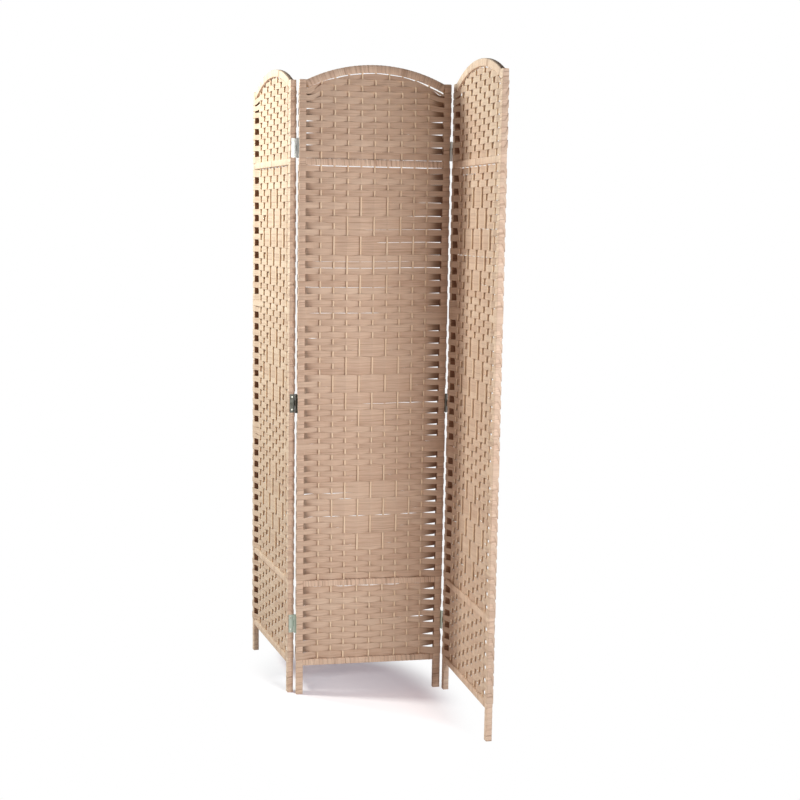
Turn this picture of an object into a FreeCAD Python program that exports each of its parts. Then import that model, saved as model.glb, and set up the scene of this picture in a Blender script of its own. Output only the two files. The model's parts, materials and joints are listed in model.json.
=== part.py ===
import FreeCAD, Part
import Sketcher
import math
import os

# Driving sizes of the three-panel folding screen: millimetres, degrees and plain counts.
SIZES = {
    # One panel, measured over its wrapped frame
    "panel_width": 404,
    "panel_height": 1700,
    "shoulder_height": 1657,
    "stile_width": 19,
    "stile_depth": 16,
    "rail_height": 18,
    "rail_depth": 14,
    "arch_thickness": 20,
    "bottom_rail_level": 80,
    "lower_rail_level": 302,
    "upper_rail_level": 1438,
    # Ribbon wound round the wooden frame
    "wrap_thickness": 1,
    "wrap_slack": 0.1,
    # Stub tenons of the rails in the stiles
    "tenon_length": 8,
    "tenon_height": 8,
    "tenon_thickness": 6,
    "tenon_slack": 0.1,
    # Upright rods of the weave
    "rod_diameter": 5,
    "rod_count": 9,
    "rod_end_gap": 40,
    "rod_seat": 7,
    "rod_clearance": 0.25,
    # Woven ribbons
    "ribbon_thickness": 1,
    "ribbon_gap": 0.6,
    "ribbon_clearance": 0.3,
    "ribbon_least_height": 4,
    "rail_slit": 2.5,
    "rod_plateau": 3,
    "stile_overrun": 0.6,
    "top_rows": 14,
    "centre_middle_rows": 69,
    "outer_middle_rows": 65,
    "bottom_rows": 12,
    # How far the rows halfway down the middle field hang below even spacing, and how sharply that sets in
    "left_sag": 15,
    "left_sag_power": 0.55,
    "centre_sag": 19,
    "centre_sag_power": 3,
    "right_sag": 7,
    "right_sag_power": 1.5,
    # Diamond motif of the middle field
    "motif_count": 3,
    "motif_spacing_rows": 22,
    "motif_band_rows": 3,
    "motif_reach": 3,
    # Butt hinges between the panels
    "hinge_height": 50,
    "leaf_width": 14,
    "leaf_thickness": 1.2,
    "barrel_diameter": 5,
    "knuckle_count": 3,
    "knuckle_gap": 0.2,
    "pin_diameter": 3,
    "pin_clearance": 0.05,
    "pin_head_diameter": 4.4,
    "pin_head_height": 0.8,
    "pin_head_gap": 0.1,
    "low_hinge_level": 196,
    "middle_hinge_level": 806,
    "high_hinge_level": 1482,
    # Countersunk wood screws of the hinges
    "screw_spacing": 34,
    "screw_diameter": 3,
    "screw_head_diameter": 5.6,
    "screw_length": 12,
    "screw_tip_length": 3,
    "screw_clearance": 0.15,
    # Turn of each outer panel away from the plane of the centre panel
    "left_fold": 81,
    "right_fold": 86.7,
}

COUNTERSINK_ANGLE = 90
HINGE_LEVELS = {"low": "low_hinge_level", "middle": "middle_hinge_level", "high": "high_hinge_level"}

doc = FreeCAD.newDocument("folding_screen")
sheet = doc.addObject("Spreadsheet::Sheet", "sizes")
for line, (alias, number) in enumerate(SIZES.items(), start=1):
    sheet.set(f"A{line}", alias)
    sheet.set(f"B{line}", str(number))
    sheet.setAlias(f"B{line}", alias)
doc.recompute()

nodes = []


def value(expression):
    """Number that an expression on the sheet gives."""
    return float(sheet.evalExpression(expression))


def size(alias):
    """Number held by one cell of the sheet."""
    return value("sizes." + alias)


# Derived sizes, each an expression on the sheet
HALF_WIDTH = "(sizes.panel_width / 2)"
HALF_DEPTH = "(sizes.stile_depth / 2)"
CORE_FACE = "(sizes.stile_width - sizes.wrap_thickness)"
CORE_DEPTH = "(sizes.rail_depth - 2 * sizes.wrap_thickness)"
CORE_HEIGHT = "(sizes.rail_height - 2 * sizes.wrap_thickness)"
CLEAR_WIDTH = "(sizes.panel_width - 2 * sizes.stile_width)"
ARCH_RISE = "(sizes.panel_height - sizes.shoulder_height)"
ARCH_RADIUS = f"(({CLEAR_WIDTH} / 2)^2 + {ARCH_RISE}^2) / (2 * {ARCH_RISE})"
ARCH_CENTRE = f"(sizes.panel_height - {ARCH_RADIUS})"
ARCH_INNER = f"({ARCH_RADIUS} - sizes.arch_thickness)"
ROD_PITCH = f"(({CLEAR_WIDTH} - 2 * sizes.rod_end_gap) / (sizes.rod_count - 1))"
BARREL_RADIUS = "(sizes.barrel_diameter / 2)"
RAIL_LEVELS = ["sizes.bottom_rail_level", "sizes.lower_rail_level", "sizes.upper_rail_level"]


def arch_height(x, radius):
    """Expression for the height of an arc about the arch's centre, at a place across the panel."""
    return f"({ARCH_CENTRE} + sqrt(({radius})^2 - ({x} - {HALF_WIDTH})^2))"


def rod_place(number):
    """Expression for how far one rod stands from the panel's left side."""
    return f"(sizes.stile_width + sizes.rod_end_gap + {number - 1} * {ROD_PITCH})"


ARCH_TENON = (
    f"(({arch_height(CORE_FACE, ARCH_RADIUS + ' - sizes.wrap_thickness')}"
    f" + {arch_height(CORE_FACE, ARCH_INNER + ' + sizes.wrap_thickness')}) / 2"
    f" - sizes.tenon_height / 2)"
)
TENON_LEVELS = [f"({level} + (sizes.rail_height - sizes.tenon_height) / 2)" for level in RAIL_LEVELS]
TENON_LEVELS.append(ARCH_TENON)


# Sketch and feature helpers

def new_body(label):
    """Empty body with its own label."""
    body = doc.addObject("PartDesign::Body", label)
    body.Label = label
    return body


def sketch_on(body, plane, offset):
    """Empty sketch on one of a body's base planes, moved along the plane's normal."""
    sketch = body.newObject("Sketcher::SketchObject", body.Name + "_sketch")
    for feature in body.Origin.OriginFeatures:
        if feature.Role == plane:
            sketch.AttachmentSupport = [(feature, "")]
    sketch.MapMode = "FlatFace"
    sketch.setExpression("AttachmentOffset.Base.z", offset)
    return sketch


def bind(sketch, constraint, expression):
    """Add a dimension to a sketch and tie it to the sheet."""
    index = sketch.addConstraint(constraint)
    sketch.setExpression(f"Constraints[{index}]", expression)


def fix_point(sketch, edge, point, across, up):
    """Hold one end or centre of a sketch edge at a place given by two expressions."""
    bind(sketch, Sketcher.Constraint("DistanceX", -1, 1, edge, point, value(across)), across)
    bind(sketch, Sketcher.Constraint("DistanceY", -1, 1, edge, point, value(up)), up)


def polygon(sketch, corners):
    """Closed outline of straight edges through corners given as pairs of expressions."""
    points = [FreeCAD.Vector(value(across), value(up), 0) for across, up in corners]
    first = sketch.GeometryCount
    for start, end in zip(points, points[1:] + points[:1]):
        sketch.addGeometry(Part.LineSegment(start, end), False)
    for step, (across, up) in enumerate(corners):
        following = first + (step + 1) % len(corners)
        sketch.addConstraint(Sketcher.Constraint("Coincident", first + step, 2, following, 1))
        fix_point(sketch, first + step, 1, across, up)


def rectangle(sketch, left, low, right, high):
    """Closed rectangle between two corners given as expressions."""
    polygon(sketch, [(left, low), (right, low), (right, high), (left, high)])


def circle(sketch, across, up, radius):
    """Circle of given centre and radius."""
    centre = FreeCAD.Vector(value(across), value(up), 0)
    edge = sketch.addGeometry(Part.Circle(centre, FreeCAD.Vector(0, 0, 1), value(radius)), False)
    fix_point(sketch, edge, 3, across, up)
    bind(sketch, Sketcher.Constraint("Radius", edge, value(radius)), radius)


def pad(body, sketch, length, reverse=False):
    """Solid raised from a sketch."""
    feature = body.newObject("PartDesign::Pad", body.Name + "_pad")
    feature.Profile = sketch
    feature.Reversed = reverse
    feature.setExpression("Length", length)
    return feature


def pocket(body, sketch, depth, reverse=False):
    """Cut sunk from a sketch, against the sketch's normal unless reversed."""
    feature = body.newObject("PartDesign::Pocket", body.Name + "_pocket")
    feature.Profile = sketch
    feature.Reversed = reverse
    feature.setExpression("Length", depth)
    return feature


def centred(span):
    """Expressions for the two limits of a width centred in the panel's depth."""
    return f"({HALF_DEPTH} - ({span}) / 2)", f"({HALF_DEPTH} + ({span}) / 2)"


# Wooden frame

def screw_places():
    """Heights of every hinge screw on one stile, as expressions."""
    for alias in HINGE_LEVELS.values():
        for sign in "-+":
            yield f"(sizes.{alias} {sign} sizes.screw_spacing / 2)"


def pilot_holes(body, offset, depth):
    """Holes for the hinge screws, sunk inwards from the stile's outer side."""
    sketch = sketch_on(body, "YZ_Plane", offset)
    for height in screw_places():
        circle(sketch, HALF_DEPTH, height, "(sizes.screw_diameter / 2 + sizes.screw_clearance)")
    pocket(body, sketch, depth, reverse=True)


def stile(label, hinged):
    """Upright of the frame with its mortises; its outer side is at x = 0."""
    body = new_body(label)
    section = sketch_on(body, "XY_Plane", "0")
    back = "(sizes.stile_depth - sizes.wrap_thickness)"
    rectangle(section, "sizes.wrap_thickness", "sizes.wrap_thickness", CORE_FACE, back)
    pad(body, section, "sizes.shoulder_height - sizes.wrap_thickness")
    mortises = sketch_on(body, "YZ_Plane", CORE_FACE)
    front, rear = centred("sizes.tenon_thickness + 2 * sizes.tenon_slack")
    for level in TENON_LEVELS:
        low = f"({level} - sizes.tenon_slack)"
        high = f"({level} + sizes.tenon_height + sizes.tenon_slack)"
        rectangle(mortises, front, low, rear, high)
    pocket(body, mortises, "sizes.tenon_length + sizes.tenon_slack")
    if hinged:
        pilot_holes(body, "sizes.wrap_thickness", "sizes.screw_length")
    return body


def stile_wrap(label, hinged):
    """Ribbon sleeve of one stile, closed on top and open where the rails enter."""
    body = new_body(label)
    sleeve = sketch_on(body, "XY_Plane", "0")
    rectangle(sleeve, "0", "0", "sizes.stile_width", "sizes.stile_depth")
    near = "(sizes.wrap_thickness - sizes.wrap_slack)"
    rectangle(sleeve, near, near, f"(sizes.stile_width - {near})", f"(sizes.stile_depth - {near})")
    top = "(sizes.shoulder_height - sizes.wrap_thickness)"
    pad(body, sleeve, top)
    cap = sketch_on(body, "XY_Plane", top)
    rectangle(cap, "0", "0", "sizes.stile_width", "sizes.stile_depth")
    pad(body, cap, "sizes.wrap_thickness")
    windows = sketch_on(body, "YZ_Plane", "sizes.stile_width")
    front, rear = centred(f"{CORE_DEPTH} + 2 * sizes.wrap_slack")
    for level in RAIL_LEVELS:
        low = f"({level} + {near})"
        high = f"({level} + sizes.rail_height - {near})"
        rectangle(windows, front, low, rear, high)
    arch_low = arch_height(CORE_FACE, ARCH_INNER + " + sizes.wrap_thickness")
    arch_high = arch_height("sizes.stile_width", ARCH_RADIUS + " - sizes.wrap_thickness")
    rectangle(windows, front, f"({arch_low} - sizes.wrap_slack)", rear, f"({arch_high} + sizes.wrap_slack)")
    pocket(body, windows, "sizes.wrap_thickness")
    if hinged:
        pilot_holes(body, "0", "sizes.wrap_thickness")
    return body


def rod_holes(body, level, depth):
    """Round holes for the rods, drilled down from a level."""
    sketch = sketch_on(body, "XY_Plane", level)
    for number in range(1, int(size("rod_count")) + 1):
        circle(sketch, rod_place(number), HALF_DEPTH, "(sizes.rod_diameter / 2 + sizes.rod_clearance)")
    pocket(body, sketch, depth)


def rail(label, level, hole_depth):
    """Straight cross rail with a stub tenon at each end and holes for the rods."""
    body = new_body(label)
    section = sketch_on(body, "YZ_Plane", CORE_FACE)
    front, rear = centred(CORE_DEPTH)
    top = f"({level} + sizes.rail_height - sizes.wrap_thickness)"
    rectangle(section, front, f"({level} + sizes.wrap_thickness)", rear, top)
    pad(body, section, f"sizes.panel_width - 2 * {CORE_FACE}")
    tenon_start = f"({CORE_FACE} - sizes.tenon_length)"
    tenons = sketch_on(body, "YZ_Plane", tenon_start)
    front, rear = centred("sizes.tenon_thickness")
    low = f"({level} + (sizes.rail_height - sizes.tenon_height) / 2)"
    rectangle(tenons, front, low, rear, f"({low} + sizes.tenon_height)")
    pad(body, tenons, f"sizes.panel_width - 2 * {tenon_start}")
    rod_holes(body, top, hole_depth)
    return body


def rail_wrap(label, level, hole_depth):
    """Ribbon sleeve of one straight rail, between the stiles."""
    body = new_body(label)
    sleeve = sketch_on(body, "YZ_Plane", "sizes.stile_width")
    front, rear = centred("sizes.rail_depth")
    rectangle(sleeve, front, level, rear, f"({level} + sizes.rail_height)")
    near = "(sizes.wrap_thickness - sizes.wrap_slack)"
    rectangle(
        sleeve,
        f"({front} + {near})",
        f"({level} + {near})",
        f"({rear} - {near})",
        f"({level} + sizes.rail_height - {near})",
    )
    pad(body, sleeve, CLEAR_WIDTH)
    rod_holes(body, f"({level} + sizes.rail_height)", hole_depth)
    return body


def arch_band(sketch, side, outer, inner):
    """Outline of a curved band between two upright ends at equal distances from the panel's sides."""
    radii = {"outer": outer, "inner": inner}
    edges = {}
    centre = FreeCAD.Vector(value(HALF_WIDTH), value(ARCH_CENTRE), 0)
    half_span = value(f"{HALF_WIDTH} - {side}")
    for name, radius in radii.items():
        reach = math.acos(half_span / value(radius))
        ring = Part.Circle(centre, FreeCAD.Vector(0, 0, 1), value(radius))
        edges[name] = sketch.addGeometry(Part.ArcOfCircle(ring, reach, math.pi - reach), False)
        fix_point(sketch, edges[name], 3, HALF_WIDTH, ARCH_CENTRE)
        bind(sketch, Sketcher.Constraint("Radius", edges[name], value(radius)), radius)
    for end, across in ((1, f"(sizes.panel_width - {side})"), (2, side)):
        x = value(across)
        low = FreeCAD.Vector(x, value(arch_height(across, inner)), 0)
        high = FreeCAD.Vector(x, value(arch_height(across, outer)), 0)
        upright = sketch.addGeometry(Part.LineSegment(low, high), False)
        sketch.addConstraint(Sketcher.Constraint("Coincident", upright, 1, edges["inner"], end))
        sketch.addConstraint(Sketcher.Constraint("Coincident", upright, 2, edges["outer"], end))
        sketch.addConstraint(Sketcher.Constraint("Vertical", upright))
        bind(sketch, Sketcher.Constraint("DistanceX", -1, 1, upright, 1, x), across)


def drilled(label, body, drills):
    """A body with the rods' holes cut out of it."""
    cut = doc.addObject("Part::Cut", label)
    cut.Label = label
    cut.Base = body
    cut.Tool = drills
    return cut


def arch_rail(label, drills):
    """Curved top rail with a stub tenon at each end and blind holes for the rods."""
    body = new_body(label + "_blank")
    front, _ = centred(CORE_DEPTH)
    band = sketch_on(body, "XZ_Plane", f"-{front}")
    outer = f"({ARCH_RADIUS} - sizes.wrap_thickness)"
    inner = f"({ARCH_INNER} + sizes.wrap_thickness)"
    arch_band(band, CORE_FACE, outer, inner)
    pad(body, band, CORE_DEPTH, reverse=True)
    for start in (f"({CORE_FACE} - sizes.tenon_length)", f"(sizes.panel_width - {CORE_FACE})"):
        tenon = sketch_on(body, "YZ_Plane", start)
        near, far = centred("sizes.tenon_thickness")
        rectangle(tenon, near, ARCH_TENON, far, f"({ARCH_TENON} + sizes.tenon_height)")
        pad(body, tenon, "sizes.tenon_length")
    return drilled(label, body, drills)


def arch_wrap(label, drills):
    """Ribbon sleeve of the curved top rail, between the stiles."""
    body = new_body(label + "_blank")
    front, _ = centred("sizes.rail_depth")
    band = sketch_on(body, "XZ_Plane", f"-{front}")
    arch_band(band, "sizes.stile_width", ARCH_RADIUS, ARCH_INNER)
    pad(body, band, "sizes.rail_depth", reverse=True)
    near = "(sizes.wrap_thickness - sizes.wrap_slack)"
    hollow = sketch_on(body, "XZ_Plane", f"-({front} + {near})")
    arch_band(hollow, CORE_FACE, f"({ARCH_RADIUS} - {near})", f"({ARCH_INNER} + {near})")
    pocket(body, hollow, f"sizes.rail_depth - 2 * {near}")
    return drilled(label, body, drills)


def group(label, members):
    """Several solids of one kind under one label."""
    compound = doc.addObject("Part::Compound", label)
    compound.Label = label
    compound.Links = members
    return compound


def rods(label, widening):
    """Upright rods from the bottom rail to the arch, thickened on the radius by a clearance."""
    members = []
    bottom = "(sizes.bottom_rail_level + sizes.rail_height - sizes.rod_seat)"
    for number in range(1, int(size("rod_count")) + 1):
        rod = doc.addObject("Part::Cylinder", f"{label}_{number}")
        rod.setExpression("Radius", f"sizes.rod_diameter / 2 + {widening}")
        top = f"({arch_height(rod_place(number), ARCH_INNER)} + sizes.rod_seat)"
        rod.setExpression("Height", f"{top} - {bottom}")
        rod.setExpression("Placement.Base.x", rod_place(number))
        rod.setExpression("Placement.Base.y", HALF_DEPTH)
        rod.setExpression("Placement.Base.z", bottom)
        members.append(rod)
    return group(label, members)


# Woven ribbons

def motif_rows():
    """Rows that one diamond takes up."""
    return (2 * size("motif_reach") - 1) * size("motif_band_rows")


def motif_lead(rows):
    """Plain rows above the first diamond, with all diamonds in the middle of a field."""
    spread = motif_rows() + (size("motif_count") - 1) * size("motif_spacing_rows")
    return (rows - spread) // 2


def shows_rod(row, number, lead):
    """Whether a ribbon passes behind a rod and leaves it in sight from the front."""
    if lead is not None:
        offset = row - 1 - lead
        repeat = offset // size("motif_spacing_rows")
        line = offset - repeat * size("motif_spacing_rows")
        band = line // size("motif_band_rows")
        if 0 <= repeat < size("motif_count") and line < motif_rows():
            reach = size("motif_reach") - abs(band + 1 - size("motif_reach"))
            distance = abs(number - (size("rod_count") + 1) / 2)
            if distance <= reach:
                return (distance + reach) % 2 == 0
    return row % 2 == number % 2


def passes_stiles_in_front(row, lead):
    """Whether a ribbon passes in front of the stiles: each odd row, and the one halfway between two diamonds."""
    if lead is not None:
        spacing = size("motif_spacing_rows")
        halfway = lead + (motif_rows() + spacing + 1) / 2
        if row in [halfway + repeat * spacing for repeat in range(int(size("motif_count")) - 1)]:
            return True
    return row % 2 == 1


def ribbon(row, low, height, lead):
    """One ribbon across the panel, in front of some rods and behind the others."""
    width = size("panel_width")
    thickness = size("ribbon_thickness")
    depth = size("stile_depth")
    reach = size("rod_diameter") / 2 + size("ribbon_clearance")
    flat = size("rod_plateau")
    start = 0
    trim_radius = value(f"{ARCH_INNER} - sizes.rail_slit")
    clear_top = value(arch_height("sizes.stile_width", f"{ARCH_INNER} - sizes.rail_slit"))
    cut_short = low + height > clear_top
    places = {number: value(rod_place(number)) for number in range(1, int(size("rod_count")) + 1)}
    if cut_short:
        rise = low + size("ribbon_least_height") - value(ARCH_CENTRE)
        half_span = math.sqrt(max(trim_radius**2 - rise**2, 0))
        start = max(width / 2 - half_span, size("stile_width") + size("stile_overrun"))
        for place in places.values():
            if abs(place - start) < 2 * flat:
                start = place + 2 * flat
    stations = []
    for number, place in places.items():
        if start < place < width - start:
            behind = shows_rod(row, number, lead)
            level = depth / 2 + reach if behind else depth / 2 - reach - thickness
            stations.append((place - flat, place + flat, level))
    if not cut_short:
        edge = size("stile_width") + size("stile_overrun")
        level = -thickness if passes_stiles_in_front(row, lead) else depth
        stations.insert(0, (start, edge, level))
        stations.append((width - edge, width - start, level))
    face = [(x, level) for begin, end, level in stations for x in (begin, end)]
    face[0] = (start, face[0][1])
    face[-1] = (width - start, face[-1][1])
    inner = [b for a, b, c in zip(face, face[1:], face[2:]) if not a[1] == b[1] == c[1]]
    face = [face[0]] + inner + [face[-1]]
    outline = face + [(x, y + thickness) for x, y in reversed(face)]
    corners = [FreeCAD.Vector(x, y, low) for x, y in outline]
    strip = Part.Face(Part.makePolygon(corners + corners[:1])).extrude(FreeCAD.Vector(0, 0, height))
    if cut_short:
        strip = strip.common(under_arch(start, trim_radius))
    return strip


def under_arch(start, radius):
    """Block below the arch, its top made of short flat facets that stay under the curve."""
    width = size("panel_width")
    centre = value(ARCH_CENTRE)
    facets = 2 * int(size("rod_count"))
    margin = 2 * size("ribbon_thickness") + size("stile_depth")
    span = width - 2 * start
    floor = size("upper_rail_level")
    corners = [FreeCAD.Vector(start, -margin, floor)]
    for step in range(facets + 1):
        x = start + span * step / facets
        height = centre + math.sqrt(radius**2 - (x - width / 2) ** 2)
        corners.append(FreeCAD.Vector(x, -margin, height))
    corners.append(FreeCAD.Vector(width - start, -margin, floor))
    side = Part.Face(Part.makePolygon(corners + corners[:1]))
    return side.extrude(FreeCAD.Vector(0, 3 * margin, 0))


def even_levels(low, high, rows):
    """Heights of the lines between the rows of a field, evenly spaced from its upper rail down."""
    slit = size("rail_slit")
    pitch = (high - low - 2 * slit) / rows
    return [high - slit - line * pitch for line in range(rows + 1)]


def sagging_levels(low, high, rows, sag, power):
    """The same heights with the rows hanging lower, most of all halfway down the field."""
    return [
        level - sag * abs(math.sin(math.pi * line / rows)) ** power
        for line, level in enumerate(even_levels(low, high, rows))
    ]


def weave(label, levels, rows, lead=None):
    """Every ribbon of one field, from its highest row down."""
    gap = size("ribbon_gap")
    strips = [
        ribbon(row, low + gap / 2, high - low - gap, lead)
        for row, high, low in zip(rows, levels, levels[1:])
    ]
    feature = doc.addObject("Part::Feature", label)
    feature.Label = label
    feature.Shape = Part.makeCompound(strips)
    return feature


# Hinges

def hinge_leaf(label, knuckles):
    """One leaf of a butt hinge about its pin; its wood lies beyond x = barrel radius."""
    body = new_body(label)
    inner_face = f"({BARREL_RADIUS} - sizes.leaf_thickness)"
    plate_start = f"({BARREL_RADIUS} + sizes.knuckle_gap)"
    plate = sketch_on(body, "XY_Plane", "-sizes.hinge_height / 2")
    rectangle(plate, inner_face, plate_start, BARREL_RADIUS, f"({BARREL_RADIUS} + sizes.leaf_width)")
    pad(body, plate, "sizes.hinge_height")
    step = "((sizes.hinge_height + sizes.knuckle_gap) / sizes.knuckle_count)"
    for index in knuckles:
        knuckle = sketch_on(body, "XY_Plane", f"({index} * {step} - sizes.hinge_height / 2)")
        knuckle_outline(knuckle, inner_face, plate_start)
        circle(knuckle, "0", "0", "(sizes.pin_diameter / 2 + sizes.pin_clearance)")
        pad(body, knuckle, f"{step} - sizes.knuckle_gap")
    holes = sketch_on(body, "YZ_Plane", inner_face)
    for sign in "-+":
        circle(
            holes,
            f"({BARREL_RADIUS} + {HALF_DEPTH})",
            f"({sign}sizes.screw_spacing / 2)",
            "(sizes.screw_diameter / 2 + sizes.screw_clearance)",
        )
    doc.recompute()
    hole = body.newObject("PartDesign::Hole", label + "_hole")
    hole.Profile = holes
    hole.Reversed = True
    hole.DepthType = "ThroughAll"
    hole.Threaded = False
    hole.setExpression("Diameter", "sizes.screw_diameter + 2 * sizes.screw_clearance")
    hole.HoleCutType = "Countersink"
    hole.HoleCutCustomValues = True
    hole.setExpression("HoleCutDiameter", "sizes.screw_head_diameter + 2 * sizes.screw_clearance")
    hole.HoleCutCountersinkAngle = COUNTERSINK_ANGLE
    return body


def knuckle_outline(sketch, inner_face, plate_start):
    """Rolled eye of a leaf: an arc about the pin, run out along both faces of the plate."""
    radius = value(BARREL_RADIUS)
    inner = value(inner_face)
    end = value(plate_start)
    turn = math.acos(inner / radius)
    meet = FreeCAD.Vector(inner, radius * math.sin(turn), 0)
    ring = Part.Circle(FreeCAD.Vector(0, 0, 0), FreeCAD.Vector(0, 0, 1), radius)
    arc = sketch.addGeometry(Part.ArcOfCircle(ring, turn, 2 * math.pi), False)
    path = [FreeCAD.Vector(x, y, 0) for x, y in ((radius, 0), (radius, end), (inner, end))] + [meet]
    lines = [
        sketch.addGeometry(Part.LineSegment(begin, finish), False)
        for begin, finish in zip(path, path[1:])
    ]
    sketch.addConstraint(Sketcher.Constraint("Coincident", arc, 2, lines[0], 1))
    sketch.addConstraint(Sketcher.Constraint("Coincident", lines[0], 2, lines[1], 1))
    sketch.addConstraint(Sketcher.Constraint("Coincident", lines[1], 2, lines[2], 1))
    sketch.addConstraint(Sketcher.Constraint("Coincident", lines[2], 2, arc, 1))
    sketch.addConstraint(Sketcher.Constraint("Vertical", lines[2]))
    fix_point(sketch, arc, 3, "0", "0")
    fix_point(sketch, lines[0], 1, BARREL_RADIUS, "0")
    fix_point(sketch, lines[0], 2, BARREL_RADIUS, plate_start)
    fix_point(sketch, lines[1], 2, inner_face, plate_start)


def hinge_pin(label):
    """Headed pin of one hinge, turned about the vertical."""
    body = new_body(label)
    profile = sketch_on(body, "XZ_Plane", "0")
    shank = "(sizes.pin_diameter / 2)"
    head = "(sizes.pin_head_diameter / 2)"
    seat = "(sizes.hinge_height / 2 + sizes.pin_head_gap)"
    tip = f"({seat} + sizes.pin_head_height)"
    polygon(profile, [
        ("0", f"-{tip}"),
        (head, f"-{tip}"),
        (head, f"-{seat}"),
        (shank, f"-{seat}"),
        (shank, seat),
        (head, seat),
        (head, tip),
        ("0", tip),
    ])
    turned = body.newObject("PartDesign::Revolution", label + "_turning")
    turned.Profile = profile
    turned.ReferenceAxis = (profile, ["V_Axis"])
    turned.Angle = 360
    return body


def screw_blank(label):
    """Countersunk wood screw, its head level with x = 0 and its point towards +x."""
    head_radius = "sizes.screw_head_diameter / 2"
    shank_radius = "sizes.screw_diameter / 2"
    head_height = f"({head_radius} - {shank_radius})"
    shank_length = f"(sizes.screw_length - {head_height} - sizes.screw_tip_length)"
    along = FreeCAD.Rotation(FreeCAD.Vector(0, 1, 0), 90)
    head = doc.addObject("Part::Cone", label + "_head")
    head.setExpression("Radius1", head_radius)
    head.setExpression("Radius2", shank_radius)
    head.setExpression("Height", head_height)
    shank = doc.addObject("Part::Cylinder", label + "_shank")
    shank.setExpression("Radius", shank_radius)
    shank.setExpression("Height", shank_length)
    tip = doc.addObject("Part::Cone", label + "_tip")
    tip.setExpression("Radius1", shank_radius)
    tip.Radius2 = 0
    tip.setExpression("Height", "sizes.screw_tip_length")
    for piece in (head, shank, tip):
        piece.Placement = FreeCAD.Placement(FreeCAD.Vector(0, 0, 0), along)
    shank.setExpression("Placement.Base.x", head_height)
    tip.setExpression("Placement.Base.x", f"{head_height} + {shank_length}")
    screw = doc.addObject("Part::MultiFuse", label)
    screw.Shapes = [head, shank, tip]
    return screw


def stile_screws(blank, frame):
    """Copies of one screw at every hinge hole of a stile that stands at a given place."""
    copies = []
    for height in screw_places():
        spot = FreeCAD.Vector(-size("leaf_thickness"), size("stile_depth") / 2, value(height))
        place = frame * FreeCAD.Placement(spot, FreeCAD.Rotation())
        copies.append(blank.Shape.transformed(place.toMatrix()))
    return copies


# Places of the panels and their hinges, seen from above

def turned_about(x, y, degrees):
    """Placement that turns about an upright axis through a point."""
    spin = FreeCAD.Rotation(FreeCAD.Vector(0, 0, 1), degrees)
    return FreeCAD.Placement(FreeCAD.Vector(0, 0, 0), spin, FreeCAD.Vector(x, y, 0))


def shifted(x, y, z):
    """Placement that only moves."""
    return FreeCAD.Placement(FreeCAD.Vector(x, y, z), FreeCAD.Rotation())


def footprint_middle(places):
    """Middle of the floor area that the panels cover, with the ribbons proud of their faces."""
    proud = size("ribbon_thickness")
    corners = [
        place.multVec(FreeCAD.Vector(x, y, 0))
        for place in places
        for x in (0, size("panel_width"))
        for y in (-proud, size("stile_depth") + proud)
    ]
    xs = [corner.x for corner in corners]
    ys = [corner.y for corner in corners]
    return (min(xs) + max(xs)) / 2, (min(ys) + max(ys)) / 2


barrel = value(BARREL_RADIUS)
inline_step = size("panel_width") + 2 * barrel
left_axis = (-barrel, size("stile_depth") + barrel)
right_axis = (size("panel_width") + barrel, -barrel)
panel_places = {
    "left": turned_about(*left_axis, -size("left_fold")) * shifted(-inline_step, 0, 0),
    "centre": FreeCAD.Placement(),
    "right": turned_about(*right_axis, -size("right_fold")) * shifted(inline_step, 0, 0),
}
middle_x, middle_y = footprint_middle(panel_places.values())
to_origin = shifted(-middle_x, -middle_y, 0)
panel_places = {name: to_origin * place for name, place in panel_places.items()}
about_x, about_y, about_z = (
    FreeCAD.Placement(FreeCAD.Vector(0, 0, 0), FreeCAD.Rotation(FreeCAD.Vector(*axis), 180))
    for axis in ((1, 0, 0), (0, 1, 0), (0, 0, 1))
)
right_stile_place = shifted(size("panel_width"), size("stile_depth"), 0) * about_z


def keep(piece, place):
    """Set a finished sub-part in its place and list it for writing."""
    piece.Placement = place
    nodes.append(piece)


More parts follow.
